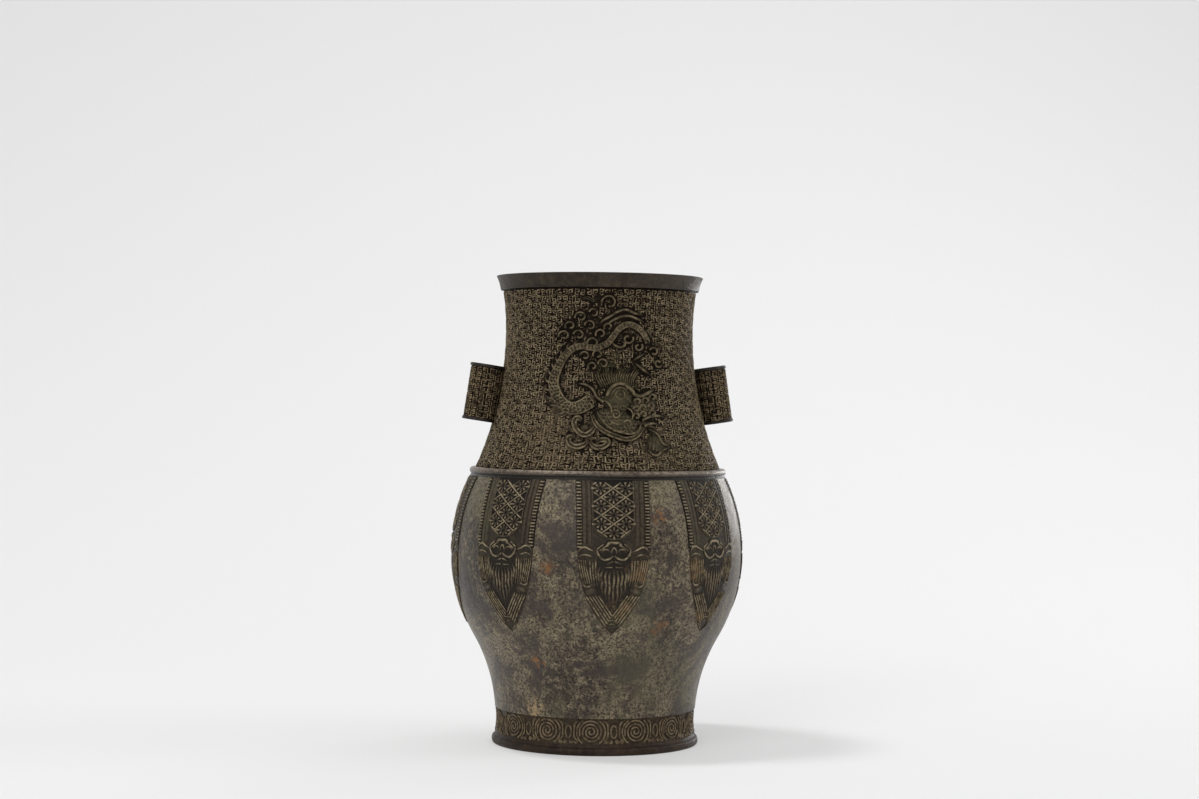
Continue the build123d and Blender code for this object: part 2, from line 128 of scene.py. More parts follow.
# Lappets, drawn with depths below the shoulder rib
LAPPET_COUNT = 8
LAPPET_LENGTH = 107.5
LAPPET_HALF_WIDTH = 25
LAPPET_STRAIGHT = 50
BLADE_RELIEF = 0.25
PANEL_RADIUS = 14.8
PANEL_STRAIGHT = 26.2
PANEL_RELIEF = 0.45
MASK_MIDDLE = 66
MASK_HALF_SIZE = (13, 27)
MASK_SPAN = (39.2, 92.8)
MASK_RELIEF = 0.31
LATTICE_TOP = 5.5
LATTICE_HALF = (8.6, 6.1)
PETAL_REACH = (6.4, 4.3, 5.2, 4.3)
PETAL_START = 1.2

# Dragons
DRAGON_WIDTH = 9
DRAGON_RELIEF = 2.1

# Foot frieze
FRIEZE_MIDDLE = 16.6
ROUNDEL_COUNT = 14
ROUNDEL_START = -8.5
ROUNDEL_RADIUS = 8.4
ROUNDEL_TURNS = 3.2

# Lines of radius and height


def tangent_arc(start, direction, end, steps):
    """Points of the arc that leaves start in a direction and stops at end, and its last direction."""
    start, end = np.array(start), np.array(end)
    along = np.array(direction) / np.hypot(*direction)
    left = np.array((-along[1], along[0]))
    chord = end - start
    radius = chord @ chord / (2 * chord @ left)
    turn = 2 * atan2(chord @ left, chord @ along)
    angles = np.linspace(0, turn, steps + 1)
    points = start + radius * (left + np.outer(np.sin(angles), along) - np.outer(np.cos(angles), left))
    return points, cos(turn) * along + sin(turn) * left


def belly_line():
    """The belly's outside from the foot up, in three arcs."""
    upper, _ = tangent_arc(BELLY_WIDEST, (0, 1), (BELLY_TOP_RADIUS, BELLY_TOP), BELLY_STEPS)
    middle, last = tangent_arc(BELLY_WIDEST, (0, -1), BELLY_BEND, BELLY_STEPS)
    lower, _ = tangent_arc(BELLY_BEND, last, (BELLY_BOTTOM_RADIUS, BAND_TOP), BELLY_STEPS)
    return np.concatenate([lower[::-1], middle[::-1][1:], upper[1:]])


def neck_line():
    """The neck's outside from the shoulder up, in two arcs."""
    lower, _ = tangent_arc(NECK_WAIST, (0, -1), (NECK_BOTTOM_RADIUS, SHOULDER), NECK_STEPS[0])
    upper, _ = tangent_arc(NECK_WAIST, (0, 1), (NECK_TOP_RADIUS, NECK_TOP), NECK_STEPS[1])
    return np.concatenate([lower[::-1], upper[1:]])


def band_line():
    """The slightly waisted outside of the foot band."""
    bottom, waist, top = BAND_RADII
    shares = np.linspace(-1, 1, BAND_STEPS)
    mean = (bottom + top) / 2
    radii = waist + (mean - waist) * shares**2 + (top - bottom) / 2 * shares
    return np.column_stack([radii, np.linspace(FLANGE_TOP, BAND_TOP, BAND_STEPS)])


def radius_on(line):
    """A wall's radius at any height."""
    return lambda height: np.interp(height, line[:, 1], line[:, 0])


def tube_wall(line):
    """A wall of even thickness behind an outside line."""
    return np.concatenate([line, (line - (WALL, 0))[::-1]])


# Modelling


def select_only(piece):
    bpy.ops.object.select_all(action="DESELECT")
    piece.select_set(True)
    bpy.context.view_layer.objects.active = piece


def apply_modifier(piece, kind, **settings):
    select_only(piece)
    modifier = piece.modifiers.new(kind, kind)
    for name, value in settings.items():
        setattr(modifier, name, value)
    bpy.ops.object.modifier_apply(modifier=modifier.name)


def repeat(piece, count, offset):
    """A row of copies, each set off from the last."""
    settings = {"use_relative_offset": False, "use_constant_offset": True, "constant_offset_displace": offset}
    apply_modifier(piece, "ARRAY", count=count, **settings)


def smooth(piece, angle=35):
    select_only(piece)
    bpy.ops.object.shade_smooth_by_angle(angle=radians(angle))


def soften(piece, width):
    """Rounds the sharp edges, as a casting's edges are."""
    settings = {"segments": 2, "limit_method": "ANGLE", "angle_limit": radians(40)}
    apply_modifier(piece, "BEVEL", width=width * MM, **settings)
    smooth(piece)
    return piece


def edit(piece, operator, **settings):
    """Runs an operator on the whole of a mesh."""
    select_only(piece)
    bpy.ops.object.mode_set(mode="EDIT")
    bpy.ops.mesh.select_all(action="SELECT")
    operator(**settings)
    bpy.ops.object.mode_set(mode="OBJECT")


def face_out(piece):
    edit(piece, bpy.ops.mesh.normals_make_consistent, inside=False)


def lathe(name, outline):
    """A closed outline of radius and height, spun about the vessel's axis."""
    bpy.ops.mesh.primitive_circle_add(vertices=len(outline), fill_type="NOTHING")
    piece = bpy.context.object
    piece.name = name
    for vertex, (radius, height) in zip(piece.data.vertices, outline):
        vertex.co = (radius * MM, 0, height * MM)
    edit(piece, bpy.ops.mesh.spin, steps=TURN_STEPS, angle=tau, center=(0, 0, 0), axis=(0, 0, 1))
    edit(piece, bpy.ops.mesh.remove_doubles, threshold=0.01 * MM)
    face_out(piece)
    smooth(piece)
    return piece


def sleeve(name, inner, outer, low, high):
    return lathe(name, [(inner, low), (outer, low), (outer, high), (inner, high)])


# Cross-sections of cast lines between their lower corners, in shares of the half width and the height
RIDGES = {
    "round": [(-0.7, 0.7), (0, 1), (0.7, 0.7)],
    "sharp": [(-0.55, 1), (0.55, 1)],
    "grooved": [(-0.8, 0.9), (-0.5, 1), (-0.1, 0.5), (0.1, 0.5), (0.5, 1), (0.8, 0.9)],
}


def new_curve(name):
    """An empty curve and the object that holds it."""
    curve = bpy.data.curves.new(name, "CURVE")
    holder = bpy.data.objects.new(name, curve)
    bpy.context.scene.collection.objects.link(holder)
    return curve, holder


def ridge_profile(width, height, ridge):
    """The cross-section of a cast line."""
    half = width / 2
    corners = [(-half, -SINK), *((x * half, y * height) for x, y in RIDGES[ridge]), (half, -SINK)]
    curve, profile = new_curve("ridge_profile")
    spline = curve.splines.new("POLY")
    spline.points.add(len(corners) - 1)
    for point, corner in zip(spline.points, corners):
        point.co = (*corner, 0, 1)
    spline.use_cyclic_u = True
    return profile


def divided(line, longest=6):
    """A stroke with points added on long runs, so that it can follow a round wall."""
    points = np.array([(*point, 1.0)[:3] for point in line])
    result = [points[:1]]
    for start, end in zip(points[:-1], points[1:]):
        count = max(1, int(np.ceil(np.hypot(*(end - start)[:2]) / longest)))
        result.append(start + np.outer(np.arange(1, count + 1) / count, end - start))
    return np.concatenate(result).tolist()


def draw(lines, width, height, lift=0, bent=False, closed=False, ridge="round"):
    """Cast lines along flat strokes. A point is across and up, and a third value is its share of the size."""
    profile = ridge_profile(width, height, ridge)
    sketch, strokes = new_curve("sketch")
    sketch.dimensions = "2D"
    sketch.fill_mode = "NONE"
    sketch.bevel_mode = "OBJECT"
    sketch.bevel_object = profile
    sketch.use_fill_caps = True
    for line in lines:
        line = line if bent or closed else divided(line)
        spline = sketch.splines.new("BEZIER" if bent else "POLY")
        points = spline.bezier_points if bent else spline.points
        points.add(len(line) - 1)
        spline.use_cyclic_u = closed
        spline.resolution_u = 4
        for point, (across, up, *share) in zip(points, line):
            point.radius = share[0] if share else 1
            point.co = (across, up, 0) if bent else (across, up, 0, 1)
            if bent:
                point.handle_left_type = point.handle_right_type = "AUTO"
    select_only(strokes)
    bpy.ops.object.convert(target="MESH")
    strokes = bpy.context.object
    mark_relief(strokes, 0, height)
    move(strokes, lambda across, up, out: (across, up, out + lift))
    bpy.data.objects.remove(profile)
    return strokes


def flow(lines, width, height, lift=0, **style):
    """Cast lines along strokes that bend smoothly at their points."""
    return draw(lines, width, height, lift, bent=True, **style)


def plate(half_width, top, bottom, relief, columns=12, rows=36):
    """A flat raised field between two heights, whose width follows a rule."""
    bpy.ops.mesh.primitive_grid_add(x_subdivisions=columns, y_subdivisions=rows, size=2)
    field = bpy.context.object
    apply_modifier(field, "SOLIDIFY", thickness=relief + SINK, offset=-1)

    def spread(across, up, out):
        height = bottom + (top - bottom) * (up + 1) / 2
        return across * half_width(height), height, out + relief

    move(field, spread)
    mark_relief(field, relief - 1, relief + 2)
    return field


def dome(across, up, width, height, relief, lift=0, turn=0):
    """A rounded boss with an oval foot."""
    bpy.ops.mesh.primitive_uv_sphere_add(segments=16, ring_count=8, radius=1)
    boss = bpy.context.object

    def place(x, y, z):
        x, y = turned(x * width / 2, y * height / 2, turn)
        return across + x, up + y, lift + z * relief

    mark_relief(boss, 0, 1.6)
    move(boss, place)
    return boss


def points_of(piece):
    """The places of a mesh's vertices."""
    places = np.empty(len(piece.data.vertices) * 3)
    piece.data.vertices.foreach_get("co", places)
    return places.reshape(-1, 3)


def move(piece, rule):
    """Gives every vertex the place that a rule finds from its old one."""
    new = np.column_stack(rule(*points_of(piece).T))
    piece.data.vertices.foreach_set("co", new.ravel())
    piece.data.update()


def mark_relief(piece, ground, crest):
    """Stores for the patina, its dirt and wear and its painted shade and highlight how far each point stands
    out, from 0 at ground to 1 at crest.
    """
    shares = np.clip((points_of(piece)[:, 2] - ground) / (crest - ground), 0, 1)
    attributes = piece.data.attributes
    attribute = attributes.get("relief") or attributes.new("relief", "FLOAT", "POINT")
    attribute.data.foreach_set("value", shares.astype(np.float32))


def join(name, pieces):
    bpy.ops.object.select_all(action="DESELECT")
    for piece in pieces:
        piece.select_set(True)
    bpy.context.view_layer.objects.active = pieces[0]
    if len(pieces) > 1:
        bpy.ops.object.join()
    piece = bpy.context.object
    piece.name = name
    return piece


# Laying flat ornament on the walls


def turned(x, y, angle):
    c, s = cos(radians(angle)), sin(radians(angle))
    return c * x - s * y, s * x + c * y


def around(angle, reach, up):
    """A place in metres at an angle from the front, a reach from the axis and a height."""
    return reach * MM * np.sin(angle), -reach * MM * np.cos(angle), up * MM


def on_front(radius_at, turn):
    """A drawing seen straight on from one side of the wall."""

    def place(across, up, out):
        radius = radius_at(up)
        return around(np.arcsin(across / radius) + radians(turn), radius + out, up)

    return place


def all_round(radius_at, length, start=0):
    """A strip of a length, bent right round a wall, with its zero at the start angle from the front."""
    return lambda across, up, out: around(across / length * tau + radians(start), radius_at(up) + out, up)


def on_lug(side):
    """Places a piece made about the vessel's axis on the right lug, or half a turn away on the left."""

    def place(x, y, z):
        out, up = turned(x, z, LUG_LEAN)
        return side * (LUG_AXIS_RADIUS * MM + out), side * y, LUG_MIDDLE * MM + up

    return place


def laid_copies(drawing, line, places, angle):
    """Copies of a flat drawing on a wall, each with a name and a turn."""
    pieces = []
    for name, turn in places:
        piece = drawing.copy()
        piece.data = drawing.data.copy()
        piece.name = name
        bpy.context.scene.collection.objects.link(piece)
        move(piece, on_front(radius_on(line), turn))
        smooth(piece, angle)
        pieces.append(piece)
    bpy.data.objects.remove(drawing)
    return pieces


# Ornament


def mirrored(lines):
    """Strokes of the right half and the same strokes on the left."""
    return lines + [[(-point[0], *point[1:]) for point in line] for line in lines]


def oval(across, up, half_width, half_height, count):
    """A ring of points."""
    angles = [tau * i / count for i in range(count)]
    return [(across + half_width * cos(a), up + half_height * sin(a)) for a in angles]


def curl(across, up, radius, turns, start, count=9, tail=0.25):
    """A spiral that opens out from its centre and ends at the start angle."""
    points = []
    for i in range(count):
        share = i / (count - 1)
        angle = radians(start) - (1 - share) * turns * tau
        reach = radius * (tail + (1 - tail) * share)
        points.append((across + reach * cos(angle), up + reach * sin(angle)))
    return points


def spiral_field(length, bottom, top, grid, block, stroke):
    """Squared spirals in pairs, turned over from cell to cell in an uneven order, with a bridged slit between
    the pairs, repeated block by block."""
    width, height = length / grid[0], (top - bottom) / grid[1]
    strokes = []
    for column in range(block[0]):
        first = column % 2 == 0
        start = column + SPIRAL_SLIT if first else column
        for row in range(block[1]):
            flip_x = (3 * column + 5 * row) % 7 % 2
            flip_y = (2 * column + 3 * row) % 5 % 2
            for line in SPIRAL_CELL:
                cell = [(start + (1 - SPIRAL_SLIT) * abs(flip_x - x), row + abs(flip_y - y)) for x, y in line]
                strokes.append([(x * width, y * height) for x, y in cell])
            if first:
                strokes.append([((column + x) * width, row * height) for x in SPIRAL_BRIDGE])
    field = draw(strokes, *stroke, ridge="sharp")
    move(field, lambda across, up, out: (across - length / 2, up + bottom, out))
    repeat(field, grid[0] // block[0], (block[0] * width, 0, 0))
    repeat(field, grid[1] // block[1], (0, block[1] * height, 0))
    return field


# Turned pieces


def rim_band():
    flare = np.linspace(-1, 1, RIM_STEPS)
    radii = np.interp(flare, (-1, 1), (RIM_BOTTOM_RADIUS, RIM_TOP_RADIUS)) - RIM_HOLLOW * (1 - flare**2)
    outside = np.column_stack([radii, np.linspace(NECK_TOP, RIM_TOP, RIM_STEPS)])
    inner = NECK_TOP_RADIUS - WALL
    start, end = UNDERCUT_RADII
    under = [(start, NECK_TOP), (start, UNDERCUT_TOP), (end, UNDERCUT_TOP), (end, NECK_TOP)]
    return soften(lathe("rim_band", [*outside, (inner, RIM_TOP), (inner, NECK_TOP), *under]), 0.5)


def shoulder_moulding():
    inner = NECK_BOTTOM_RADIUS
    half_width, half_height = RIB_HALF_SIZE
    middle = RIB_RADIUS - half_width
    angles = np.linspace(-0.55, pi / 2, 7)
    crown = [(middle + half_width * cos(a), RIB_MIDDLE + half_height * sin(a)) for a in angles]
    outline = [(inner, BELLY_TOP), *RIB_FILLET, *crown, (inner, SHOULDER)]
    piece = soften(lathe("shoulder_moulding", outline), 0.25)
    # Painted light: below these heights the rib takes the dark recess colour as painted shade, and above them
    # the pale crest colour as a painted highlight
    mark_relief(piece, *(height * MM for height in RIB_PAINTED_LIGHT))
    return piece


def foot_step():
    edge, half = FLANGE_RADIUS - FLANGE_ROUND, FLANGE_TREAD / 2
    lower = [(edge + FLANGE_ROUND * cos(a), half + half * sin(a)) for a in np.linspace(-pi / 2, pi / 2, 9)]
    upper = [*FLANGE_STEP, (BAND_RADII[0], FLANGE_TOP)]
    return lathe("foot_step", [(FOOT_BORE, FLANGE_TOP), (FOOT_BORE, 0), *lower, *upper])


def base_disc():
    bpy.ops.mesh.primitive_cylinder_add(vertices=96, radius=(FOOT_BORE - FIT) * MM, depth=WALL * MM)
    piece = bpy.context.object
    piece.name = "base_disc"
    move(piece, lambda x, y, z: (x, y, z + (BAND_TOP - WALL / 2) * MM))
    return soften(piece, 0.4)


def neck_ground():
    # The shell has no relief marks, so all of its ground takes the recess colour: dirt and painted shade
    # between the spirals.
    inner, middle = NECK_BOTTOM_RADIUS - WALL, NECK_BOTTOM_RADIUS - WALL / 2
    tongue = [(inner, BELLY_TOP - NECK_TONGUE), (middle, BELLY_TOP - NECK_TONGUE), (middle, SHOULDER)]
    return lathe("neck_shell", [*tube_wall(neck_line()), *tongue])


def belly_shell():
    return lathe("belly_shell", [*tube_wall(belly_line()), (BELLY_BOTTOM_RADIUS - BELLY_LEDGE, BAND_TOP)])


def foot_drum():
    """The plain drum of the foot, worn neither as a recess nor as a crest."""
    piece = lathe("foot_drum", [*band_line(), (FOOT_BORE, BAND_TOP), (FOOT_BORE, FLANGE_TOP)])
    mark_relief(piece, -1, 2)
    return piece


def clear_round(field, pieces):
    """Sinks the strokes that lie under or close beside other pieces into the wall, so that the bare
    recess-dark ground beside those pieces shows as a painted shadow round them.
    """
    tree = KDTree(sum(len(piece.data.vertices) for piece in pieces))
    for piece in pieces:
        for vertex in piece.data.vertices:
            tree.insert(vertex.co, 0)
    tree.balance()
    for vertex in field.data.vertices:
        if tree.find(vertex.co)[2] < DRAGON_SHADOW_GAP * MM:
            vertex.co.xy *= 1 - DRAGON_SHADOW_GAP_DEPTH * MM / vertex.co.xy.length


def uneven(across, up, out):
    """Sways, shifts and thins strokes a little, in waves that don't fall in with the cells."""
    sway = 0.45 * np.sin(0.83 * up + 2.1 * np.sin(0.29 * across))
    rise = 0.4 * np.sin(0.71 * across + 2.3 * np.sin(0.23 * up))
    return across + sway, up + rise, out * (0.8 + 0.2 * np.sin(0.47 * across + 0.61 * up))


def neck_spirals(dragon_pair):
    length = tau * NECK_WAIST[0]
    low, high = SHOULDER + NECK_MARGINS[0], NECK_TOP - NECK_MARGINS[1]
    field = spiral_field(length, low, high, NECK_GRID, NECK_BLOCK, NECK_STROKE)
    move(field, uneven)
    move(field, all_round(radius_on(neck_line()), length))
    clear_round(field, dragon_pair)
    return join("neck_spirals", [field])


# Lappets


def blade_half_width(depth):
    """Half the lappet's width: straight, then an arc in to the tip."""
    taper = LAPPET_LENGTH - LAPPET_STRAIGHT
    sweep = (LAPPET_HALF_WIDTH**2 + taper**2) / (2 * LAPPET_HALF_WIDTH)
    below = np.clip(depth - LAPPET_STRAIGHT, 0, taper)
    return np.maximum(LAPPET_HALF_WIDTH - sweep + np.sqrt(sweep**2 - below**2), 0.05)


def panel_half_width(depth):
    """Half the panel's width: straight, then round."""
    below = np.maximum(depth - PANEL_STRAIGHT, 0)
    return np.sqrt(np.maximum(PANEL_RADIUS**2 - np.square(below), 0.01))


def panel_bottom(across):
    """The depth of the panel's rounded lower edge."""
    return PANEL_STRAIGHT + np.sqrt(np.maximum(PANEL_RADIUS**2 - np.square(across), 0))


def mask_half_width(depth):
    """Half the width of the oval ground behind mask and beard, whose plate is coloured dark as painted shade.
    """
    half_width, half_height = MASK_HALF_SIZE
    return half_width * np.sqrt(np.maximum(1 - np.square((depth - MASK_MIDDLE) / half_height), 0.001))


def lattice_lines():
    """Diagonals of the diamond lattice inside the panel."""
    half_x, half_y = LATTICE_HALF
    lines = []
    for row in range(-2, 6):
        start = LATTICE_TOP + 2 * half_y * row
        for slope in (-1, 1):
            points = [(x, start + slope * x * half_y / half_x) for x in np.linspace(-13.5, 13.5, 28)]
            kept = [p for p in points if 1 < p[1] < panel_bottom(p[0]) - 1]
            if len(kept) > 2:
                lines.append([kept[0], kept[-1]])
    return lines


def lattice_flowers():
    """The eight petals of the flower in each cell of the lattice."""
    half_x, half_y = LATTICE_HALF
    petals = []
    for column in (-1, 0, 1):
        for row in range(4):
            x = half_x * column
            y = LATTICE_TOP + 2 * half_y * row + (0 if column else half_y)
            if y + 2 < panel_bottom(abs(x) + 2):
                for i in range(8):
                    c, s = cos(tau * i / 8), 0.8 * sin(tau * i / 8)
                    start, reach = PETAL_START, PETAL_REACH[i % 4]
                    petals.append([(x + start * c, y + start * s, 0.5), (x + reach * c, y + reach * s)])
    return petals


def carve(lines, width, height, **style):
    """Cast lines on the blade of a lappet, given for its right half."""
    return draw(mirrored(lines), width, height, BLADE_RELIEF, **style)


def lappet_drawing():
    """One lappet, drawn flat."""
    blade = plate(blade_half_width, 0, LAPPET_LENGTH, BLADE_RELIEF)
    panel = plate(panel_half_width, 0, PANEL_STRAIGHT + PANEL_RADIUS, PANEL_RELIEF, rows=20)
    # Painted shade: the ground behind mask and beard is marked low, so it takes the dark recess colour
    hollow_shade = plate(mask_half_width, *MASK_SPAN, MASK_RELIEF, rows=24)
    strips = carve([[(23.6, 0.4), (23.6, 47.4)]], 4.2, 0.1, ridge="sharp")
    rails = carve([[(20.1, 0.4), (20.1, 45.6)], [(16.6, 0.4), (16.6, 44.5)]], 3, 0.5, ridge="sharp")
    curve = [(x, panel_bottom(x) - 0.6) for x in np.linspace(-14.2, 14.2, 19)]
    border = draw([[(-14.2, 0.5), *curve, (14.2, 0.5)]], 1.1, 0.55, PANEL_RELIEF)
    bars = [[(22, 1.7 + 2.2 * i), (25, 1.7 + 2.2 * i)] for i in range(21)]
    wear_and_painted_light = ((panel, 0.2, 6), (hollow_shade, -0.5, 4), (strips, 0.2, 6), (rails, -0.6, 2), (border, -0.4, 2))
    for piece, ground, crest in wear_and_painted_light:
        mark_relief(piece, ground, crest)
    pieces = [
        blade,
        *(row[0] for row in wear_and_painted_light),
        carve(bars, 1.35, 0.9, ridge="sharp"),
        draw(lattice_lines(), 1.3, 0.75, PANEL_RELIEF),
        draw(lattice_flowers(), 2.1, 0.75, PANEL_RELIEF),
        *bow_pieces(),
        *mask_pieces(),
        *hanging_pieces(),
    ]
    drawing = join("lappet_drawing", pieces)
    move(drawing, lambda across, depth, out: (across, BELLY_TOP - depth, out))
    face_out(drawing)
    return drawing


def bow_pieces():
    """The bows that tie the tassels to the side strips."""
    tops = [[(24.6, 49.4, 0.6), (22.2, 46.4), (19.8, 45.9), (16.2, 47.6), (12.2, 49.2, 0.6)]]
    bottoms = [[(24.4, 52.8, 0.6), (21, 51), (17, 51.6), (14, 53, 0.6)]]
    return [carve(tops, 1.7, 0.95, bent=True), carve(bottoms, 1.3, 0.7, bent=True)]


def mask_pieces():
    """The animal mask below the panel, from its brow to its mouth."""
    brow = [(-4.8, 45), (-3.6, 43.2), (0, 42.8), (3.6, 43.2), (4.8, 45)]
    temples = [[(4.8, 44.6), (9.8, 48.2)], [(7.2, 43.8), (11.6, 47)]]
    cheeks = [[(11.8, 46.6, 0.7), (10.8, 50.8), (7.2, 54.2), (3.8, 54), (0.4, 51.8, 0.8)]]
    lids = mirrored([[(2.6, 49.2, 0.5), (4.6, 47.4), (7.4, 47.8), (8.6, 49.6, 0.5)]])
    nose = [(-2, 50.6, 0.6), (-1, 47), (0, 46.2), (1, 47), (2, 50.6, 0.6)]
    lips = [[(0.6, 55.6), (5.4, 57.4, 0.5)], [(1, 59.6), (6.4, 59.8, 0.6)]]
    return [
        flow([brow], 2.4, 1, BLADE_RELIEF),
        carve(temples, 1.3, 0.65),
        carve(cheeks, 1.9, 1, bent=True),
        flow([*lids, nose], 1.2, 0.6, BLADE_RELIEF),
        carve(lips, 1.4, 0.8),
    ]


def hanging_pieces():
    """Leafy beard, side tassels with their knots, the V of cords and the leaf at the tip."""
    beard = [
        [(2.2, 61.6, 0.5), (3.2, 67), (2.6, 74), (3, 80, 0.8), (1.2, 89, 0.2)],
        [(4.6, 61.4, 0.5), (6, 66), (5.2, 72), (5.6, 77, 0.8), (3.4, 85, 0.2)],
        [(7, 60.8, 0.5), (8.8, 65), (8, 70), (8.2, 74, 0.8), (5.8, 80, 0.2)],
        [(9.2, 58.8, 0.5), (10.8, 63), (10.2, 67), (9.6, 72, 0.3)],
    ]
    middle = [(0, 61.2, 0.5), (0.3, 68), (-0.3, 76), (0, 82, 0.8), (0, 92.5, 0.2)]
    tassels = []
    for i in range(4):
        tassels.append([(19.6 + 1.5 * i, 54.6, 0.8), (18.4 + 1.5 * i, 62), (16.2 + 1.45 * i, 71, 0.8)])
    ribbons = [[(12.6 + 2 * i, 55.2), (12.4 + 1.8 * i, 64), (11 + 1.7 * i, 72.6, 0.6)] for i in range(3)]
    knots = [[(14.6, 70.8, 0.6), (16.6, 72.9), (19.6, 72.8), (21.4, 70.6, 0.6)]]
    cords = [[(10 + 2.05 * i, 79.4 + 0.2 * i), (0.3 + 1.0 * i, 93.6 + 1.9 * i)] for i in range(5)]
    edges = [[(7.4, 99.4, 0.6), (3.9, 103.6), (0.3, 106.7, 0.6)]]
    leaf = [
        [(-3.4, 97.4, 0.6), (0, 96.6), (3.4, 97.4, 0.6)],
        [(-2.6, 100.2, 0.6), (0, 99.4), (2.6, 100.2, 0.6)],
    ]
    strands = flow([*mirrored(beard), middle], 2.3, 0.8, BLADE_RELIEF)
    mark_relief(strands, BLADE_RELIEF, BLADE_RELIEF + 1)
    return [
        strands,
        carve(tassels, 1.3, 0.85, bent=True),
        carve(ribbons, 1.3, 0.6, bent=True),
        carve(knots, 1.6, 0.9, bent=True),
        carve(cords, 1.3, 0.8),
        carve(edges, 1.2, 0.7, bent=True),
        flow(leaf, 1.2, 0.7, BLADE_RELIEF),
        *[dome(side * 15.4, 76.4, 9, 5.2, 0.55, BLADE_RELIEF, side * 20) for side in (-1, 1)],
    ]


def lappets():
    places = [(f"dressed_lappet_{i + 1}", i * 360 / LAPPET_COUNT) for i in range(LAPPET_COUNT)]
    return laid_copies(lappet_drawing(), belly_line(), places, 35)


# Dragon, with heights above the shoulder

# Spine from the tail to the head: across, up and share of the width
DRAGON_SPINE = [
    (27.7, 89.6, 0.36), (24.8, 96, 0.42), (19.8, 100.8, 0.44), (13.3, 103.1, 0.44), (7.4, 100.8, 0.44),
    (3.1, 95.8, 0.44), (-1.5, 90, 0.46), (-8, 86.6, 0.46), (-14.8, 86.4, 0.46), (-20.5, 87.4, 0.48),
    (-26.6, 84.9, 0.52), (-32.2, 78.7, 0.58), (-36.2, 70.4, 0.66), (-38.4, 63, 0.76), (-37.7, 56.3, 0.86),
    (-35, 49.9, 0.94), (-30.6, 44.9, 1), (-25, 43.2, 1.05), (-18.8, 45.4, 1.1), (-12.6, 49.6, 1.15),
]

# Curls of cloud and locks behind the cheek: across, up, radius and start
CLOUD_CURLS = [
    (-0.8, 118, 6, 200), (-20.4, 107.8, 4.2, 190), (-11.6, 110.6, 3.4, 165), (-27.4, 101.6, 3.6, 210),
    (-14, 101.8, 4, 180), (-1.4, 101, 3.2, 215), (-31.4, 94.6, 4, 195), (-21.6, 95.2, 3.8, 170),
    (-6.6, 96, 3.8, 205), (12.6, 93, 4, 20), (-11.9, 89.6, 4.2, 190), (20.2, 87.4, 3.2, 40),
    (31.8, 84, 3.4, 160), (-17.4, 80.4, 3.4, 175), (-8.6, 81.4, 3.6, 200), (35, 76, 3, 330),
    (-4.8, 75, 3.8, 185), (-12.2, 73, 3.4, 215),
]
HEAD_LOCKS = [
    (19.6, 48.6, 2.9, 220), (25.4, 49.2, 2.9, 210), (30.6, 51.6, 2.9, 200), (23.4, 44.4, 2.9, 200),
    (29.6, 45.2, 2.9, 190), (18.6, 43.2, 2.7, 180), (23.6, 39.6, 2.7, 180), (30.2, 40.6, 2.7, 180),
    (18.4, 38.2, 2.7, 180),
]

# Bosses of the head: across, up, width, height, relief and turn
HEAD_BOSSES = [(6, 51, 20, 20, 1.1, -10), (5, 34.5, 32, 17, 1, -20), (24, 45.5, 20, 16, 0.6, 10)]
EYE = (6.9, 53.4)

# Rows of furrows: how many, the first one's start and end, and the steps of both to the next
HEAD_FURROWS = [
    (5, (-2, 47.6, 0.5), (0.4, 44.6, 0.9), (2.6, -0.7, 2.5, -0.6)),
    (3, (9.6, 52.4, 0.9), (12.2, 48.6, 0.4), (1.9, -1.2, 1.9, -1.4)),
    (5, (-4.2, 37.2, 0.5), (-2.2, 34.4, 0.9), (3.3, -1.7, 3.3, -1.6)),
]


def smooth_line(points, steps=8):
    """A dense line, bent smoothly through points with any number of values."""
    ends = np.vstack([2 * points[0] - points[1], points, 2 * points[-1] - points[-2]])
    shares = np.arange(steps) / steps
    dense = []
    for before, start, end, after in zip(ends, ends[1:], ends[2:], ends[3:]):
        for t in shares:
            bend = (end - before) * t + (2 * before - 5 * start + 4 * end - after) * t**2
            dense.append(start + 0.5 * (bend + (3 * (start - end) + after - before) * t**3))
    return np.array([*dense, points[-1]])


SPINE = smooth_line(np.array(DRAGON_SPINE))
SPINE_RUN = np.concatenate([[0], np.cumsum(np.hypot(*np.diff(SPINE[:, :2], axis=0).T))])


def along_spine(run):
    """The spine's values at a way along it."""
    return np.array([np.interp(run, SPINE_RUN, values) for values in SPINE.T])


def on_body(run, lane):
    """A place on the dragon's body: a way along its spine and a share of its half width across."""
    x, y, share = along_spine(run)
    ahead = (along_spine(run + 0.4) - along_spine(run - 0.4))[:2]
    length = np.hypot(*ahead)
    half = lane * share * DRAGON_WIDTH / 2
    return x - ahead[1] / length * half, y + ahead[0] / length * half


def body_rise(across, up, out):
    """Lifts small strokes from the flat onto the rounded back of the dragon's body."""
    gaps = np.hypot(across[:, None] - SPINE[None, :, 0], up[:, None] - SPINE[None, :, 1])
    near = gaps.argmin(axis=1)
    share = SPINE[near, 2]
    lane = np.clip(gaps[np.arange(len(near)), near] / (share * DRAGON_WIDTH / 2), 0, 1)
    return across, up, out + DRAGON_RELIEF * share * (1 - 0.75 * lane**2) - 0.2


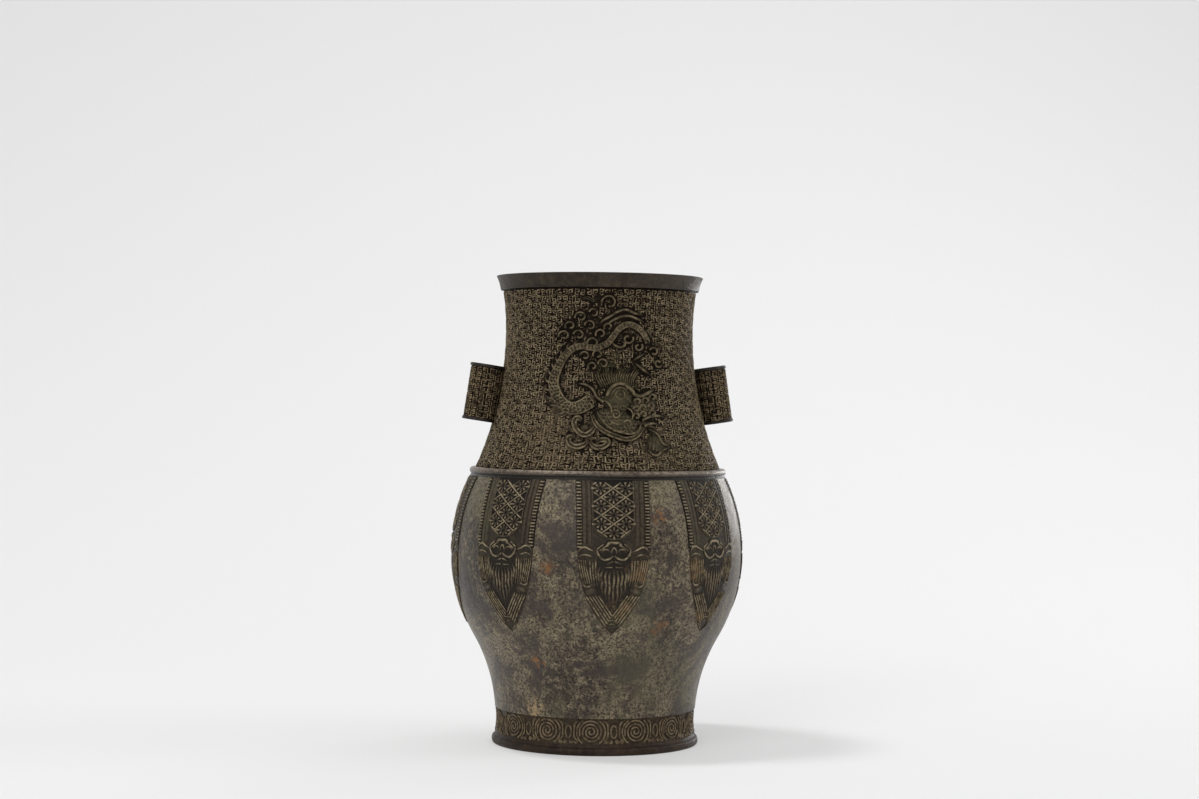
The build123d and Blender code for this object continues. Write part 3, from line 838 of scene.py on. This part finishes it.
def scales():
    """Rows of scales, the body's edges and the fins along its back."""
    total = SPINE_RUN[-1]
    angles = np.linspace(-pi / 2, pi / 2, 5)
    arcs = []
    for number, run in enumerate(np.arange(3, total - 1, 2.4)):
        for lane in (-0.5, 0.05, 0.6) if number % 2 else (-0.25, 0.33):
            arcs.append([on_body(run + 1.6 * cos(a), lane + 0.3 * sin(a)) for a in angles])
    edges = [[on_body(run, side * 0.84) for run in np.arange(1, total, 1.5)] for side in (-1, 1)]
    pieces = [draw(arcs, 1.2, 0.8), draw(edges, 1.3, 0.7)]
    for piece in pieces:
        move(piece, body_rise)
    fins = []
    for run in np.arange(60, total - 18, 5):
        root, middle, tip = on_body(run, -0.9), on_body(run - 1.2, -1.5), on_body(run - 3.4, -1.9)
        fins.append([(*root, 1), (*middle, 0.8), (*tip, 0.2)])
    return [*pieces, flow(fins, 1.9, 1.3)]


def in_boss(x, y, boss):
    """A place's way from a boss's centre, in shares of its half sizes."""
    across, up, width, height, _, turn = boss
    x, y = turned(x - across, y - up, -turn)
    return x * 2 / width, y * 2 / height


def head_rise(across, up, out):
    """Lifts small strokes from the flat onto the bosses of the head."""
    rise = np.zeros(len(across))
    for boss in HEAD_BOSSES:
        x, y = in_boss(across, up, boss)
        rise = np.maximum(rise, boss[4] * np.sqrt(np.clip(1 - x**2 - y**2, 0, 1)))
    return across, up, out + rise - 0.1


def head_scales():
    """Rows of small scales over the bosses of the head, up to the cheek."""
    arcs = []
    for row in range(9):
        for column in range(16):
            x, y = -11 + 3 * (column + row % 2 / 2), 26 + 2.5 * row
            if any(np.hypot(*in_boss(x, y, boss)) < 0.86 for boss in HEAD_BOSSES):
                arcs.append([(x + 1.1 * cos(a), y - 1.1 * sin(a)) for a in np.linspace(0.1, pi - 0.1, 5)])
    piece = draw(arcs, 0.9, 0.6)
    move(piece, head_rise)
    return piece


def head_pieces():
    """The dragon's head, with its mouth open to the left."""
    brow = [(-2.4, 52.4), (-0.5, 56.7), (2.4, 59.6), (6.8, 61.1), (11.2, 59.7), (12.7, 57.6)]
    ear = [(12.7, 59), (15.6, 56.2), (17.8, 53.3), (23.1, 53), (27.7, 55.3), (31.6, 57.1, 0.4)]
    lid = [(0.6, 51.6, 0.6), (2, 55.6), (5.4, 58.2), (9.6, 57.8), (12, 54.4, 0.6)]
    nape = [(-21.8, 60.8, 0.5), (-16.9, 60.1), (-12, 56.6), (-9.9, 52.3), (-4.9, 48)]
    jaw = [
        (-12.9, 38.7, 0.7), (-10.2, 32.6), (-3.9, 27.3), (3.9, 24), (11.1, 22.2), (18.6, 25), (23, 30.4, 0.7)
    ]
    gum = [
        (-9.3, 40.8, 0.7), (-5.8, 35.2), (-0.2, 29.9), (7.7, 26.9), (15, 26.2), (20, 29), (21.4, 32.6, 0.7)
    ]
    lip = [(-3.6, 40.9, 0.7), (-0.1, 35.2), (5.6, 32.4), (8.6, 33.9, 0.7)]
    cheek = [(9.4, 44.8, 0.6), (14.2, 42.6), (15.6, 38), (14, 34.6, 0.6)]
    bridge = [(-4.4, 49.6, 0.7), (-0.8, 46.4), (0.6, 42.8), (0.2, 40.4, 0.7)]
    teeth = [
        [(-7.4, 38.2), (-5, 39.4, 0.3)], [(-4.6, 34.6), (-2.4, 36.4, 0.3)], [(-1.4, 31.8), (0.6, 33.8, 0.3)],
        [(2.6, 29.6), (4, 31.6, 0.3)], [(6.8, 28.2), (7.6, 30.4, 0.3)], [(11, 27.4), (11.2, 29.6, 0.3)],
    ]
    furrows = []
    for count, (x, up, start), (end_x, end_up, end), (dx, dy, end_dx, end_dy) in HEAD_FURROWS:
        for i in range(count):
            furrows.append([(x + dx * i, up + dy * i, start), (end_x + end_dx * i, end_up + end_dy * i, end)])
    locks = [curl(x, up, radius, 0.9, start, count=6) for x, up, radius, start in HEAD_LOCKS]
    hair = []
    for i in range(17):
        share = i / 16
        root = (-6 + 22 * share, 58 + 14 * share - 14 * share**2)
        middle = (-10 + 29 * share, 66 + 2 * share)
        hair.append([(*root, 0.8), middle, (-11 + 35 * share, 71.5 + 3 * sin(2.3 * i), 0.3)])
    return [
        *[dome(*boss[:5], turn=boss[5]) for boss in HEAD_BOSSES],
        head_scales(),
        flow(furrows, 1.4, 0.8, 0.85),
        flow([brow, ear], 2.8, 1.5, 0.6),
        flow([nape, bridge], 2, 1.2, 0.7),
        flow([lid, lip, cheek], 1.4, 0.9, 0.9),
        flow([jaw], 3.8, 2.1, 0.1, ridge="grooved"),
        flow([gum], 1.9, 1.3, 0.7),
        draw(teeth, 1.2, 0.9, 0.8),
        flow([curl(3.6, 39.4, 3.4, 1.4, 150), curl(12, 33, 3.4, 1.2, 250)], 1.7, 1.2, 0.8),
        flow(locks, 2, 1.5, 0.3),
        flow(hair, 1, 0.6),
        dome(*EYE, 3.6, 3.2, 1.2, 0.9),
        flow([oval(*EYE, 3.2, 3.2, 8)], 1.1, 0.9, 0.9, closed=True),
    ]


def dragon_drawing():
    """The dragon among clouds, drawn flat."""
    hook = [(0.9, 90.5, 0.5), (3.9, 87.7), (8.3, 87.1), (10.5, 89.3), (8.3, 91, 0.5)]
    crest = [
        (-7.8, 102.7, 0.4), (-5, 105.6), (0, 108.5), (5, 111.8), (10.9, 113.4), (17, 111), (23.8, 109.7, 0.3)
    ]
    crest_low = [(-4, 101, 0.4), (1, 105.2), (6.6, 108), (13, 109), (19, 107), (24.6, 104.6, 0.3)]
    legs = [
        [(16.6, 77.6, 0.5), (20.5, 80.2), (24.8, 82.6, 0.4)],
        [(18.4, 75.4, 0.6), (24, 71), (30.6, 66.8, 0.3)],
    ]
    flames = [
        [(22.7, 35.4), (28, 38), (34.4, 38.8), (40.6, 37.4, 0.2)],
        [(24, 31.5), (30, 33.4), (36, 32.2, 0.2)],
    ]
    fin = [(27.1, 29.4, 0.6), (33.9, 25.5), (36.8, 19.8), (42.9, 16.9, 0.4)]
    fin_edge = [(25.1, 15.5, 0.6), (31.7, 10.9), (37.3, 14.6), (42.9, 16.9, 0.4)]
    rays = [[(28.4 + 1.8 * i, 27 - 1.2 * i, 0.5), (27.4 + 2.6 * i, 15.4 - 0.6 * i)] for i in range(4)]
    clouds = [
        [
            (-20, 35, 0.6), (-22.1, 36.7), (-24.4, 35.6), (-24.7, 31.6), (-22.6, 27.4), (-18.6, 25),
            (-13.8, 26.8), (-11, 30.8, 0.6),
        ],
        [(-25.6, 23, 0.6), (-28, 23.3), (-28.9, 20), (-25.8, 17), (-20.4, 17.3), (-15.6, 20.8, 0.6)],
        [
            (-14.6, 20, 0.6), (-12, 17), (-7.7, 16.3), (-3.6, 18.2), (-2.2, 20.4), (-6.2, 21.6),
            (-9.6, 20.2, 0.5),
        ],
        [(-8.2, 121.4, 0.4), (-11.8, 119.4, 0.6), (-15.4, 121.2, 0.6), (-19.9, 120.8, 0.4)],
    ]
    curls = [curl(x, up, radius, 0.85, start, tail=0.4) for x, up, radius, start in CLOUD_CURLS]
    body = flow([SPINE[::3].tolist()], DRAGON_WIDTH, DRAGON_RELIEF)
    mark_relief(body, 0, 2 * DRAGON_RELIEF)
    pieces = [
        body,
        *scales(),
        *head_pieces(),
        flow([hook, crest, crest_low], 2.2, 1.6),
        flow(legs, 2.4, 1.6),
        flow(flames, 2.2, 1.5),
        dome(32.4, 19, 14, 12, 0.6, turn=-20),
        flow([fin, fin_edge], 2, 1.5),
        draw(rays, 0.9, 0.9, 0.2),
        flow(clouds, 4.2, 2.1, ridge="grooved"),
        dome(-17.6, 30, 5.4, 4.4, 1),
        flow(curls, 1.7, 1.6),
    ]
    drawing = join("dragon_drawing", pieces)
    move(drawing, lambda across, up, out: (across, SHOULDER + up, out))
    return drawing


def dragons():
    return laid_copies(dragon_drawing(), neck_line(), (("dragon_front", 0), ("dragon_back", 180)), 50)


# Foot frieze


def foot_frieze():
    """Roundels and upright loops with stems and brackets, drawn as a strip and bent round the foot."""
    length = tau * BAND_RADII[1]
    pitch = length / ROUNDEL_COUNT
    roundel = curl(0, FRIEZE_MIDDLE, ROUNDEL_RADIUS, ROUNDEL_TURNS, 200, count=30, tail=0.1)
    bracket = [(pitch / 2 - 10 * cos(a), 9.6 * sin(a)) for a in np.linspace(-0.95, 0.95, 9)]
    stem = [(6.8, 7.5, 0.8), (5, 6.1), (4.2, 3.4), (4.1, 0), (4.3, -3.4), (5.4, -5.4)]
    stem_foot = curl(5.4, -6.8, 1.4, 1, 90, count=7)
    inner_foot = curl(2.2, -6.7, 1.3, 1, 20, count=7)
    between = [
        flow([oval(0, 0, 2.1, 4.3, 12)], 1.5, 0.85, closed=True),
        flow(mirrored([bracket, stem, stem_foot, inner_foot]), 1.6, 0.85),
        *[dome(side * 7, 7.6, 2, 2, 0.9) for side in (-1, 1)],
    ]
    for piece in between:
        move(piece, lambda across, up, out: (across + pitch / 2, up + FRIEZE_MIDDLE, out))
    unit = join("frieze_unit", [flow([roundel], 1.7, 0.9), *between])
    repeat(unit, ROUNDEL_COUNT, (pitch, 0, 0))
    move(unit, all_round(radius_on(band_line()), length, ROUNDEL_START))
    smooth(unit)
    return join("foot_scrolls", [unit])


# Lugs


def lug_parts(side, name):
    """A tube with its squared spirals and the two rings at its ends."""
    half = LUG_LENGTH / 2
    tube = sleeve(f"{name}_lug_tube", LUG_BORE, LUG_RADIUS, -half, half)
    length = tau * LUG_RADIUS
    top = half - LUG_RING_HEIGHT - LUG_RING_GAP
    rows = ((-top, -LUG_BELT_GAP), (LUG_BELT_GAP, top))
    fields = [spiral_field(length, low, high, LUG_GRID, LUG_BLOCK, LUG_STROKE) for low, high in rows]
    belt = draw([[(x, 0) for x in np.linspace(-length / 2, length / 2, 49)]], 0.9, 0.5)
    dressing = join("lug_dressing", [*fields, belt])
    move(dressing, all_round(lambda up: LUG_RADIUS, length, 90))
    parts = [join(f"{name}_lug_tube", [tube, dressing])]
    for label, low in (("top", half - LUG_RING_HEIGHT), ("bottom", -half)):
        size = (LUG_RING_BORE, LUG_RING_RADIUS, low, low + LUG_RING_HEIGHT)
        parts.append(soften(sleeve(f"{name}_lug_{label}_ring", *size), 0.5))
    for part in parts:
        move(part, on_lug(side))
    return parts


# Materials

# Colours as they look on screen, from 0 to 255
DARK_BROWN = (40, 31, 22)
BROWN = (66, 54, 40)
OLIVE = (88, 80, 56)
GREEN = (86, 83, 60)
PURPLE = (58, 49, 45)
PIT = (22, 16, 10)
# Recess colours: dirt, and painted shade in the hollows of relief and on the bare ground of the neck
RECESS = (20, 14, 8)
# Dirt in hollows, and painted shade there and under the shoulder rib
DIRT_AND_SHADE = (30, 23, 15)
RUST = (136, 90, 50)
TAN = (176, 148, 110)
WARM = (138, 110, 78)
# Dark grey of patina patches, also used as painted shade on the belly's left flank
DUSK_AND_SHADE = (54, 47, 42)
# Pale grey-brown of patina patches, also used as painted light on the lower neck
ASH_AND_PAINTED_LIGHT = (112, 98, 78)
MOSS = (100, 96, 66)
PAPER = (233, 233, 233)
PAPER_GLOW = (240, 240, 240)
PAPER_SHARE = 0.35

# Scales of the noises, in cycles per metre
MOTTLE_SCALE = 460
PIT_SCALE = 620
RUB_SCALE = 300
SPOT_SCALE = 240
GREEN_SCALE = 15
PURPLE_SCALE = 24

METALLIC = 0.35
SPECULAR = 0.25
POLISH_SHINE = 0.35
POLISH_SMOOTHING = 0.4
BUMP_STRENGTH = 0.8
BUMP_DEPTH = 0.5

# Spots of the finishes: place, radius, strength and colour
BELLY_SPOTS = [
    ((-44.6, -95.7, 133.6), 7, 0.9, RUST), ((-49, -67.7, 67), 6.5, 0.95, RUST),
    ((33.1, -96.4, 169), 6.5, 0.75, RUST), ((34.8, -89.8, 92.4), 8, 0.5, RUST),
    # The two wide dark spots of radius 30 on the belly's left flank are painted shade; the other dark spots
    # are patina patches
    ((-98.8, -37.1, 145.7), 5, 0.6, RUST), ((-93, -50, 152), 30, 0.9, DUSK_AND_SHADE),
    ((-96, -40, 114), 30, 0.9, DUSK_AND_SHADE), ((-36, -98, 146), 20, 0.75, DUSK_AND_SHADE),
    ((-22, -100, 116), 22, 0.6, DUSK_AND_SHADE), ((26, -99, 116), 20, 0.6, DUSK_AND_SHADE),
    ((-88, -46, 96), 20, 0.5, DUSK_AND_SHADE), ((40, -97, 140), 22, 0.75, DUSK_AND_SHADE),
    ((-60, -68, 78), 16, 0.5, DUSK_AND_SHADE), ((20, -88, 74), 16, 0.5, DUSK_AND_SHADE),
    ((-48.9, -55.1, 31.6), 8.5, 0.7, TAN),
]
LAPPET_SPOTS = [
    ((18.9, -104, 131.5), 11, 0.55, WARM), ((6, -100.8, 106.5), 11, 0.45, WARM),
    ((60.1, -86.8, 131.5), 10, 0.5, WARM), ((63.5, -74.6, 99.5), 9, 0.5, WARM),
]
NECK_SPOTS = [
    ((4, -68.5, 308), 42, 0.5, DARK_BROWN), ((62, -28, 290), 32, 0.45, DARK_BROWN),
    # These two pale spots low on the neck are partly pale patina and partly painted light, where the flared
    # neck takes more light from above
    ((-40, -66, 222), 46, 0.5, ASH_AND_PAINTED_LIGHT), ((34, -78, 210), 40, 0.35, ASH_AND_PAINTED_LIGHT),
    ((5, -70, 266), 20, 0.3, MOSS),
]
DRAGON_SPOTS = [((7, -73, 252), 22, 0.25, MOSS)]


def tint(colour):
    """A colour as it looks on screen, as the linear value that shaders take."""
    shares = [channel / 255 for channel in colour]
    return (*(s / 12.92 if s < 0.04 else ((s + 0.055) / 1.055) ** 2.4 for s in shares), 1.0)


def fill(tree, node, inputs):
    """Fills a node's inputs with values, or with links from sockets."""
    for name, value in inputs.items():
        if isinstance(value, bpy.types.NodeSocket):
            tree.links.new(value, node.inputs[name])
        else:
            node.inputs[name].default_value = value


def add(tree, kind, inputs=None, **settings):
    """A shader node with its inputs and settings."""
    node = tree.nodes.new(f"ShaderNode{kind}")
    for name, value in settings.items():
        setattr(node, name, value)
    fill(tree, node, inputs or {})
    return node


def noise(tree, vector, scale, detail, roughness, distortion=0):
    inputs = {"Vector": vector, "Scale": scale, "Detail": detail, "Roughness": roughness}
    return add(tree, "TexNoise", inputs | {"Distortion": distortion}).outputs["Fac"]


def fade(tree, value, low, high, start=0, end=1):
    """A value carried from one range to another with soft ends."""
    inputs = {"Value": value, "From Min": low, "From Max": high, "To Min": start, "To Max": end}
    return add(tree, "MapRange", inputs, interpolation_type="SMOOTHSTEP").outputs["Result"]


def maths(tree, operation, a, b):
    return add(tree, "Math", {0: a, 1: b}, operation=operation).outputs[0]


def times(tree, a, b):
    return maths(tree, "MULTIPLY", a, b)


def blend(tree, share, under, over):
    """One colour over another by a share."""
    return add(tree, "Mix", {0: share, 6: under, 7: over}, data_type="RGBA").outputs[2]


SOCKET_KINDS = {"Vector": "Vector", "Place": "Vector"}
SOCKET_KINDS |= dict.fromkeys(("Color", "Tint", "Recess", "Worn", "Dark", "Body", "Pale", "Pit"), "Color")


def new_group(name, inputs, outputs=("Color",)):
    """An empty node group, the sockets that it is given and the node that takes its results."""
    group = bpy.data.node_groups.new(name, "ShaderNodeTree")
    for way, sockets in (("INPUT", inputs), ("OUTPUT", outputs)):
        for socket in sockets:
            kind = SOCKET_KINDS.get(socket, "Float")
            group.interface.new_socket(socket, in_out=way, socket_type=f"NodeSocket{kind}")
    return group, group.nodes.new("NodeGroupInput").outputs, group.nodes.new("NodeGroupOutput")


def patina_group():
    """Corroded bronze: ragged dark and pale patches on a body colour, mottled and pitted, of uneven sheen."""
    inputs = ("Vector", "Scale", "Mottle", "Grain", "Dark", "Body", "Pale", "Pit")
    group, given, result = new_group("patina", inputs, ("Color", "Roughness", "Height"))
    vector, scale, dark = given["Vector"], given["Scale"], given["Dark"]
    streaked = add(group, "VectorMath", {0: vector, 1: (1, 1, 0.55)}, operation="MULTIPLY").outputs[0]
    clouds = noise(group, streaked, scale, 12, 0.68, 0.4)
    flakes = noise(group, vector, times(group, scale, 7), 8, 0.75)
    mottle = noise(group, vector, MOTTLE_SCALE, 6, 0.75)
    pits = noise(group, vector, PIT_SCALE, 4, 0.7)
    colour = blend(group, fade(group, clouds, 0.42, 0.56), dark, given["Body"])
    colour = blend(group, fade(group, flakes, 0.44, 0.64, 0, 0.7), colour, given["Pale"])
    colour = blend(group, times(group, fade(group, mottle, 0.54, 0.4), given["Mottle"]), colour, dark)
    colour = blend(group, times(group, fade(group, pits, 0.52, 0.43), given["Grain"]), colour, given["Pit"])
    sheen = fade(group, flakes, 0.35, 0.65, 0.38, 0.62)
    fill(group, result, {"Color": colour, "Roughness": sheen, "Height": pits})
    return group


def wear_and_painted_light_group():
    """Dark dirt and painted shade in the recesses, and rubbed metal, partly a painted highlight, on the
    crests of relief.
    """
    group, given, result = new_group("wear_and_painted_light", ("Vector", "Relief", "Color", "Recess", "Worn"))
    rub = noise(group, given["Vector"], RUB_SCALE, 5, 0.75)
    crest = times(group, fade(group, given["Relief"], 0.45, 0.95), fade(group, rub, 0.38, 0.6, 0.05, 1))
    hollow_shade = fade(group, given["Relief"], 0.02, 0.5)
    colour = blend(group, hollow_shade, given["Recess"], given["Color"])
    fill(group, result, {"Color": blend(group, crest, colour, given["Worn"])})
    return group


def bloom_group():
    """Scattered patches of a tint, stronger as Amount grows."""
    group, given, result = new_group("bloom", ("Vector", "Scale", "Amount", "Color", "Tint"))
    patches = noise(group, given["Vector"], given["Scale"], 12, 0.7, 0.5)
    share = times(group, fade(group, patches, 0.52, 0.6), given["Amount"])
    fill(group, result, {"Color": blend(group, share, given["Color"], given["Tint"])})
    return group


def spot_group():
    """One ragged patch of a tint at a place."""
    group, given, result = new_group("spot", ("Vector", "Place", "Radius", "Amount", "Color", "Tint"))
    gap = add(group, "VectorMath", {0: given["Vector"], 1: given["Place"]}, operation="DISTANCE")
    share = maths(group, "DIVIDE", gap.outputs["Value"], given["Radius"])
    ragged = fade(group, noise(group, given["Vector"], SPOT_SCALE, 8, 0.75), 0.36, 0.64, 0, 1.5)
    edge = maths(group, "ADD", share, ragged)
    mask = times(group, fade(group, edge, 1.5, 0.75), given["Amount"])
    fill(group, result, {"Color": blend(group, mask, given["Color"], given["Tint"])})
    return group


PATINA, WEAR_AND_PAINTED_LIGHT, BLOOM, SPOT = patina_group(), wear_and_painted_light_group(), bloom_group(), spot_group()


def use(tree, group, **inputs):
    return add(tree, "Group", inputs, node_tree=group).outputs


def new_material(name):
    """A material, its tree and its surface shader."""
    material = bpy.data.materials.new(name)
    material.use_nodes = True
    return material, material.node_tree, material.node_tree.nodes["Principled BSDF"]


def bronze(name, tones, scale, mottle, grain, wear_and_painted_light, green=0, purple=0, spots=(), polish=0):
    """A bronze finish of dark, body and pale tones, with a recess colour of dirt and painted shade and a
    crest colour of wear and painted highlight, if it has them.
    """
    material, tree, shader = new_material(name)
    vector = add(tree, "TexCoord").outputs["Object"]
    dark, body, pale = map(tint, tones)
    values = {"Dark": dark, "Body": body, "Pale": pale, "Pit": tint(PIT)}
    patina = use(tree, PATINA, Vector=vector, Scale=scale, Mottle=mottle, Grain=grain, **values)

    def lay(group, colour, **values):
        return use(tree, group, Vector=vector, Color=colour, **values)["Color"]

    colour = patina["Color"]
    for amount, size, shade in ((purple, PURPLE_SCALE, PURPLE), (green, GREEN_SCALE, GREEN)):
        if amount:
            colour = lay(BLOOM, colour, Scale=size, Amount=amount, Tint=tint(shade))
    # Painted light: the recess colour darkens hollows as painted shade beside their dirt, and the crest
    # colour lightens high relief as wear and painted highlight
    if wear_and_painted_light:
        recess, worn = map(tint, wear_and_painted_light)
        relief = add(tree, "Attribute", attribute_name="relief").outputs["Fac"]
        colour = lay(WEAR_AND_PAINTED_LIGHT, colour, Relief=relief, Recess=recess, Worn=worn)
    for place, radius, amount, shade in spots:
        place = [MM * x for x in place]
        colour = lay(SPOT, colour, Place=place, Radius=MM * radius, Amount=amount, Tint=tint(shade))
    bump = {"Strength": BUMP_STRENGTH, "Distance": BUMP_DEPTH * MM, "Height": patina["Height"]}
    surface = {
        "Base Color": colour,
        "Metallic": METALLIC,
        "Roughness": times(tree, patina["Roughness"], 1 - POLISH_SMOOTHING * polish),
        "Specular IOR Level": SPECULAR + POLISH_SHINE * polish,
        "Normal": add(tree, "Bump", bump).outputs["Normal"],
    }
    fill(tree, shader, surface)
    return material


def paper():
    """Matt paper, part of whose white the camera sees whatever falls on it."""
    material, tree, shader = new_material("paper")
    fill(tree, shader, {"Base Color": tint(PAPER), "Roughness": 0.9, "Specular IOR Level": 0.1})
    glow = add(tree, "Emission", {"Color": tint(PAPER_GLOW), "Strength": 1})
    path = add(tree, "LightPath").outputs
    seen = maths(tree, "ADD", path["Is Glossy Ray"], path["Is Transmission Ray"])
    seen = maths(tree, "ADD", path["Is Camera Ray"], seen)
    seen = times(tree, add(tree, "Clamp", {"Value": seen}).outputs[0], PAPER_SHARE)
    mix = add(tree, "MixShader", {0: seen, 1: shader.outputs["BSDF"], 2: glow.outputs["Emission"]})
    fill(tree, tree.nodes["Material Output"], {"Surface": mix.outputs["Shader"]})
    return material


# Finishes of the pieces: tones, scale, mottle, grain, recess and crest colours of wear and painted light, and
# what some of them add
PLAIN = (DARK_BROWN, BROWN, OLIVE)
FINISHES = {
    "smooth_bronze": ((DARK_BROWN, (59, 50, 40), (80, 70, 56)), 26, 0.3, 0.3, None, {"polish": 0.2}),
    "flange_bronze": (((38, 28, 22), (55, 43, 34), (78, 64, 50)), 26, 0.3, 0.3, None, {}),
    # The rib's recess and crest colours are painted shade along its underside and a painted highlight along
    # its top
    "rib_bronze": (
        (DARK_BROWN, (80, 67, 55), (108, 95, 80)), 26, 0.3, 0.4, (DIRT_AND_SHADE, (124, 110, 94)), {"polish": 0.9}
    ),
    "neck_bronze": (
        ((52, 42, 31), BROWN, OLIVE), 30, 0.3, 0.7, (RECESS, (146, 130, 104)),
        {"green": 0.15, "spots": NECK_SPOTS, "polish": -0.5},
    ),
    "lappet_bronze": (
        ((52, 44, 34), (66, 57, 45), (86, 77, 60)), 34, 0.5, 0.5, (RECESS, (150, 135, 107)),
        {"green": 0.35, "spots": LAPPET_SPOTS, "polish": 0.1},
    ),
    "dragon_bronze": (
        ((48, 41, 31), (70, 62, 48), OLIVE), 40, 0.5, 0.7, (DIRT_AND_SHADE, (128, 114, 89)),
        {"green": 0.25, "spots": DRAGON_SPOTS, "polish": -0.3},
    ),
    "belly_bronze": (
        ((66, 57, 46), (122, 110, 87), (160, 146, 119)), 26, 0.5, 0.85, None,
        {"green": 0.4, "purple": 0.85, "spots": BELLY_SPOTS, "polish": 0.5},
    ),
    "foot_bronze": (((60, 48, 35), (78, 64, 47), OLIVE), 34, 0.4, 0.6, (RECESS, (134, 116, 91)), {}),
    "handle_bronze": (PLAIN, 34, 0.3, 0.7, (RECESS, (136, 119, 93)), {"polish": -0.5}),
    "handle_plain": (((26, 21, 16), (44, 37, 30), (68, 60, 50)), 34, 0.4, 0.5, None, {"polish": 0.4}),
    "base_bronze": (PLAIN, 34, 0.5, 0.5, None, {}),
}
MATERIALS = {name: bronze(name, *values, **extra) for name, (*values, extra) in FINISHES.items()}


def finish_piece(piece, nodes, slot, finish=None):
    """Puts a piece in place of the nodes that it replaces. Its finish is its slot's, unless one is named."""
    piece.data.materials.clear()
    piece.data.materials.append(MATERIALS[finish or slot])
    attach(piece, "root")
    if nodes:
        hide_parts(*nodes)


# The vessel

finish_piece(rim_band(), ["rim_collar"], "smooth_bronze")
finish_piece(neck_ground(), ["neck_wall"], "neck_bronze")
dragon_pair = dragons()
finish_piece(neck_spirals(dragon_pair), [], "neck_bronze")
finish_piece(shoulder_moulding(), ["shoulder_rib"], "smooth_bronze", "rib_bronze")
finish_piece(belly_shell(), ["belly_wall"], "belly_bronze")
finish_piece(foot_drum(), ["foot_band"], "foot_bronze")
finish_piece(foot_frieze(), [], "foot_bronze")
finish_piece(foot_step(), ["foot_flange"], "smooth_bronze", "flange_bronze")
finish_piece(base_disc(), ["base_plate"], "base_bronze")
for side, name in ((1, "right"), (-1, "left")):
    tube, top_ring, bottom_ring = lug_parts(side, name)
    finish_piece(tube, [f"{name}_handle_tube"], "handle_bronze")
    finish_piece(top_ring, [f"{name}_handle_top_ring"], "handle_bronze", "handle_plain")
    finish_piece(bottom_ring, [f"{name}_handle_bottom_ring"], "handle_bronze", "handle_plain")
for number, piece in enumerate(lappets(), start=1):
    finish_piece(piece, [f"lappet_{number}"], "relief_bronze", "lappet_bronze")
for piece, node in zip(dragon_pair, ("front_dragon", "back_dragon")):
    finish_piece(piece, [node], "relief_bronze", "dragon_bronze")

# Stage, lights and camera, in metres

SWEEP_HALF_WIDTH = 6
SWEEP_LENGTH = 10
SWEEP_FRONT = 3
SWEEP_FLAT = 0.5
SWEEP_RADIUS = 3
WORLD_STRENGTH = 0.45


def backdrop():
    """A white sweep: a floor that curves up behind the vessel."""
    bpy.ops.mesh.primitive_grid_add(x_subdivisions=2, y_subdivisions=60, size=2)
    sweep = bpy.context.object
    sweep.name = "backdrop"

    def bend(x, y, z):
        along = (y + 1) / 2 * SWEEP_LENGTH - SWEEP_FRONT
        past = along - SWEEP_FLAT
        turn = np.clip(past / SWEEP_RADIUS, 0, pi / 2)
        back = np.minimum(along, SWEEP_FLAT) + SWEEP_RADIUS * np.sin(turn)
        rise = SWEEP_RADIUS * (1 - np.cos(turn)) + np.maximum(past - SWEEP_RADIUS * pi / 2, 0)
        return x * SWEEP_HALF_WIDTH, back, rise

    move(sweep, bend)
    smooth(sweep, 60)
    sweep.data.materials.append(paper())


def light(name, place, aim, size, power, spread=180):
    bpy.ops.object.light_add(type="AREA", location=place)
    lamp = bpy.context.object
    lamp.name = name
    lamp.rotation_euler = (Vector(aim) - Vector(place)).to_track_quat("-Z", "Y").to_euler()
    lamp.data.shape = "RECTANGLE"
    lamp.data.size, lamp.data.size_y = size
    lamp.data.energy = power
    lamp.data.spread = radians(spread)


def camera():
    turn = radians(CAMERA_AZIMUTH)
    right = Vector((cos(turn), sin(turn), 0))
    back = Vector((sin(turn), -cos(turn), 0))
    place = MM * (CAMERA_DISTANCE * back + CAMERA_SIDE * right + Vector((0, 0, CAMERA_HEIGHT)))
    bpy.ops.object.camera_add(location=place, rotation=(pi / 2, radians(CAMERA_ROLL), turn))
    view = bpy.context.object
    view.data.sensor_width = CAMERA_SENSOR
    view.data.lens = CAMERA_LENS
    view.data.clip_start = 0.05
    bpy.context.scene.camera = view


def surroundings():
    world = bpy.data.worlds.new("studio")
    world.use_nodes = True
    tree = world.node_tree
    fill(tree, tree.nodes["Background"], {"Color": (1, 1, 1, 1), "Strength": WORLD_STRENGTH})
    bpy.context.scene.world = world


backdrop()
surroundings()
light("key_left", (-0.9, 0.12, 3.05), (0, 0, 0.2), (0.4, 0.4), 34)
light("front_fill", (-1.3, -2.2, 1.7), (0, 0, 0.2), (1.4, 1.4), 25)
light("soft_right", (2.0, -0.2, 1.2), (0.3, 0.2, 0.1), (1.0, 1.0), 11)
light("edge_right", (1.25, 1.65, 0.3), (0, 0, 0.14), (0.6, 0.6), 0.7, spread=50)
light("wall_wash", (1.0, 0.9, 1.9), (0.4, 2.3, 0.6), (1.0, 0.6), 11)
camera()

bpy.context.scene.view_settings.view_transform = "Standard"
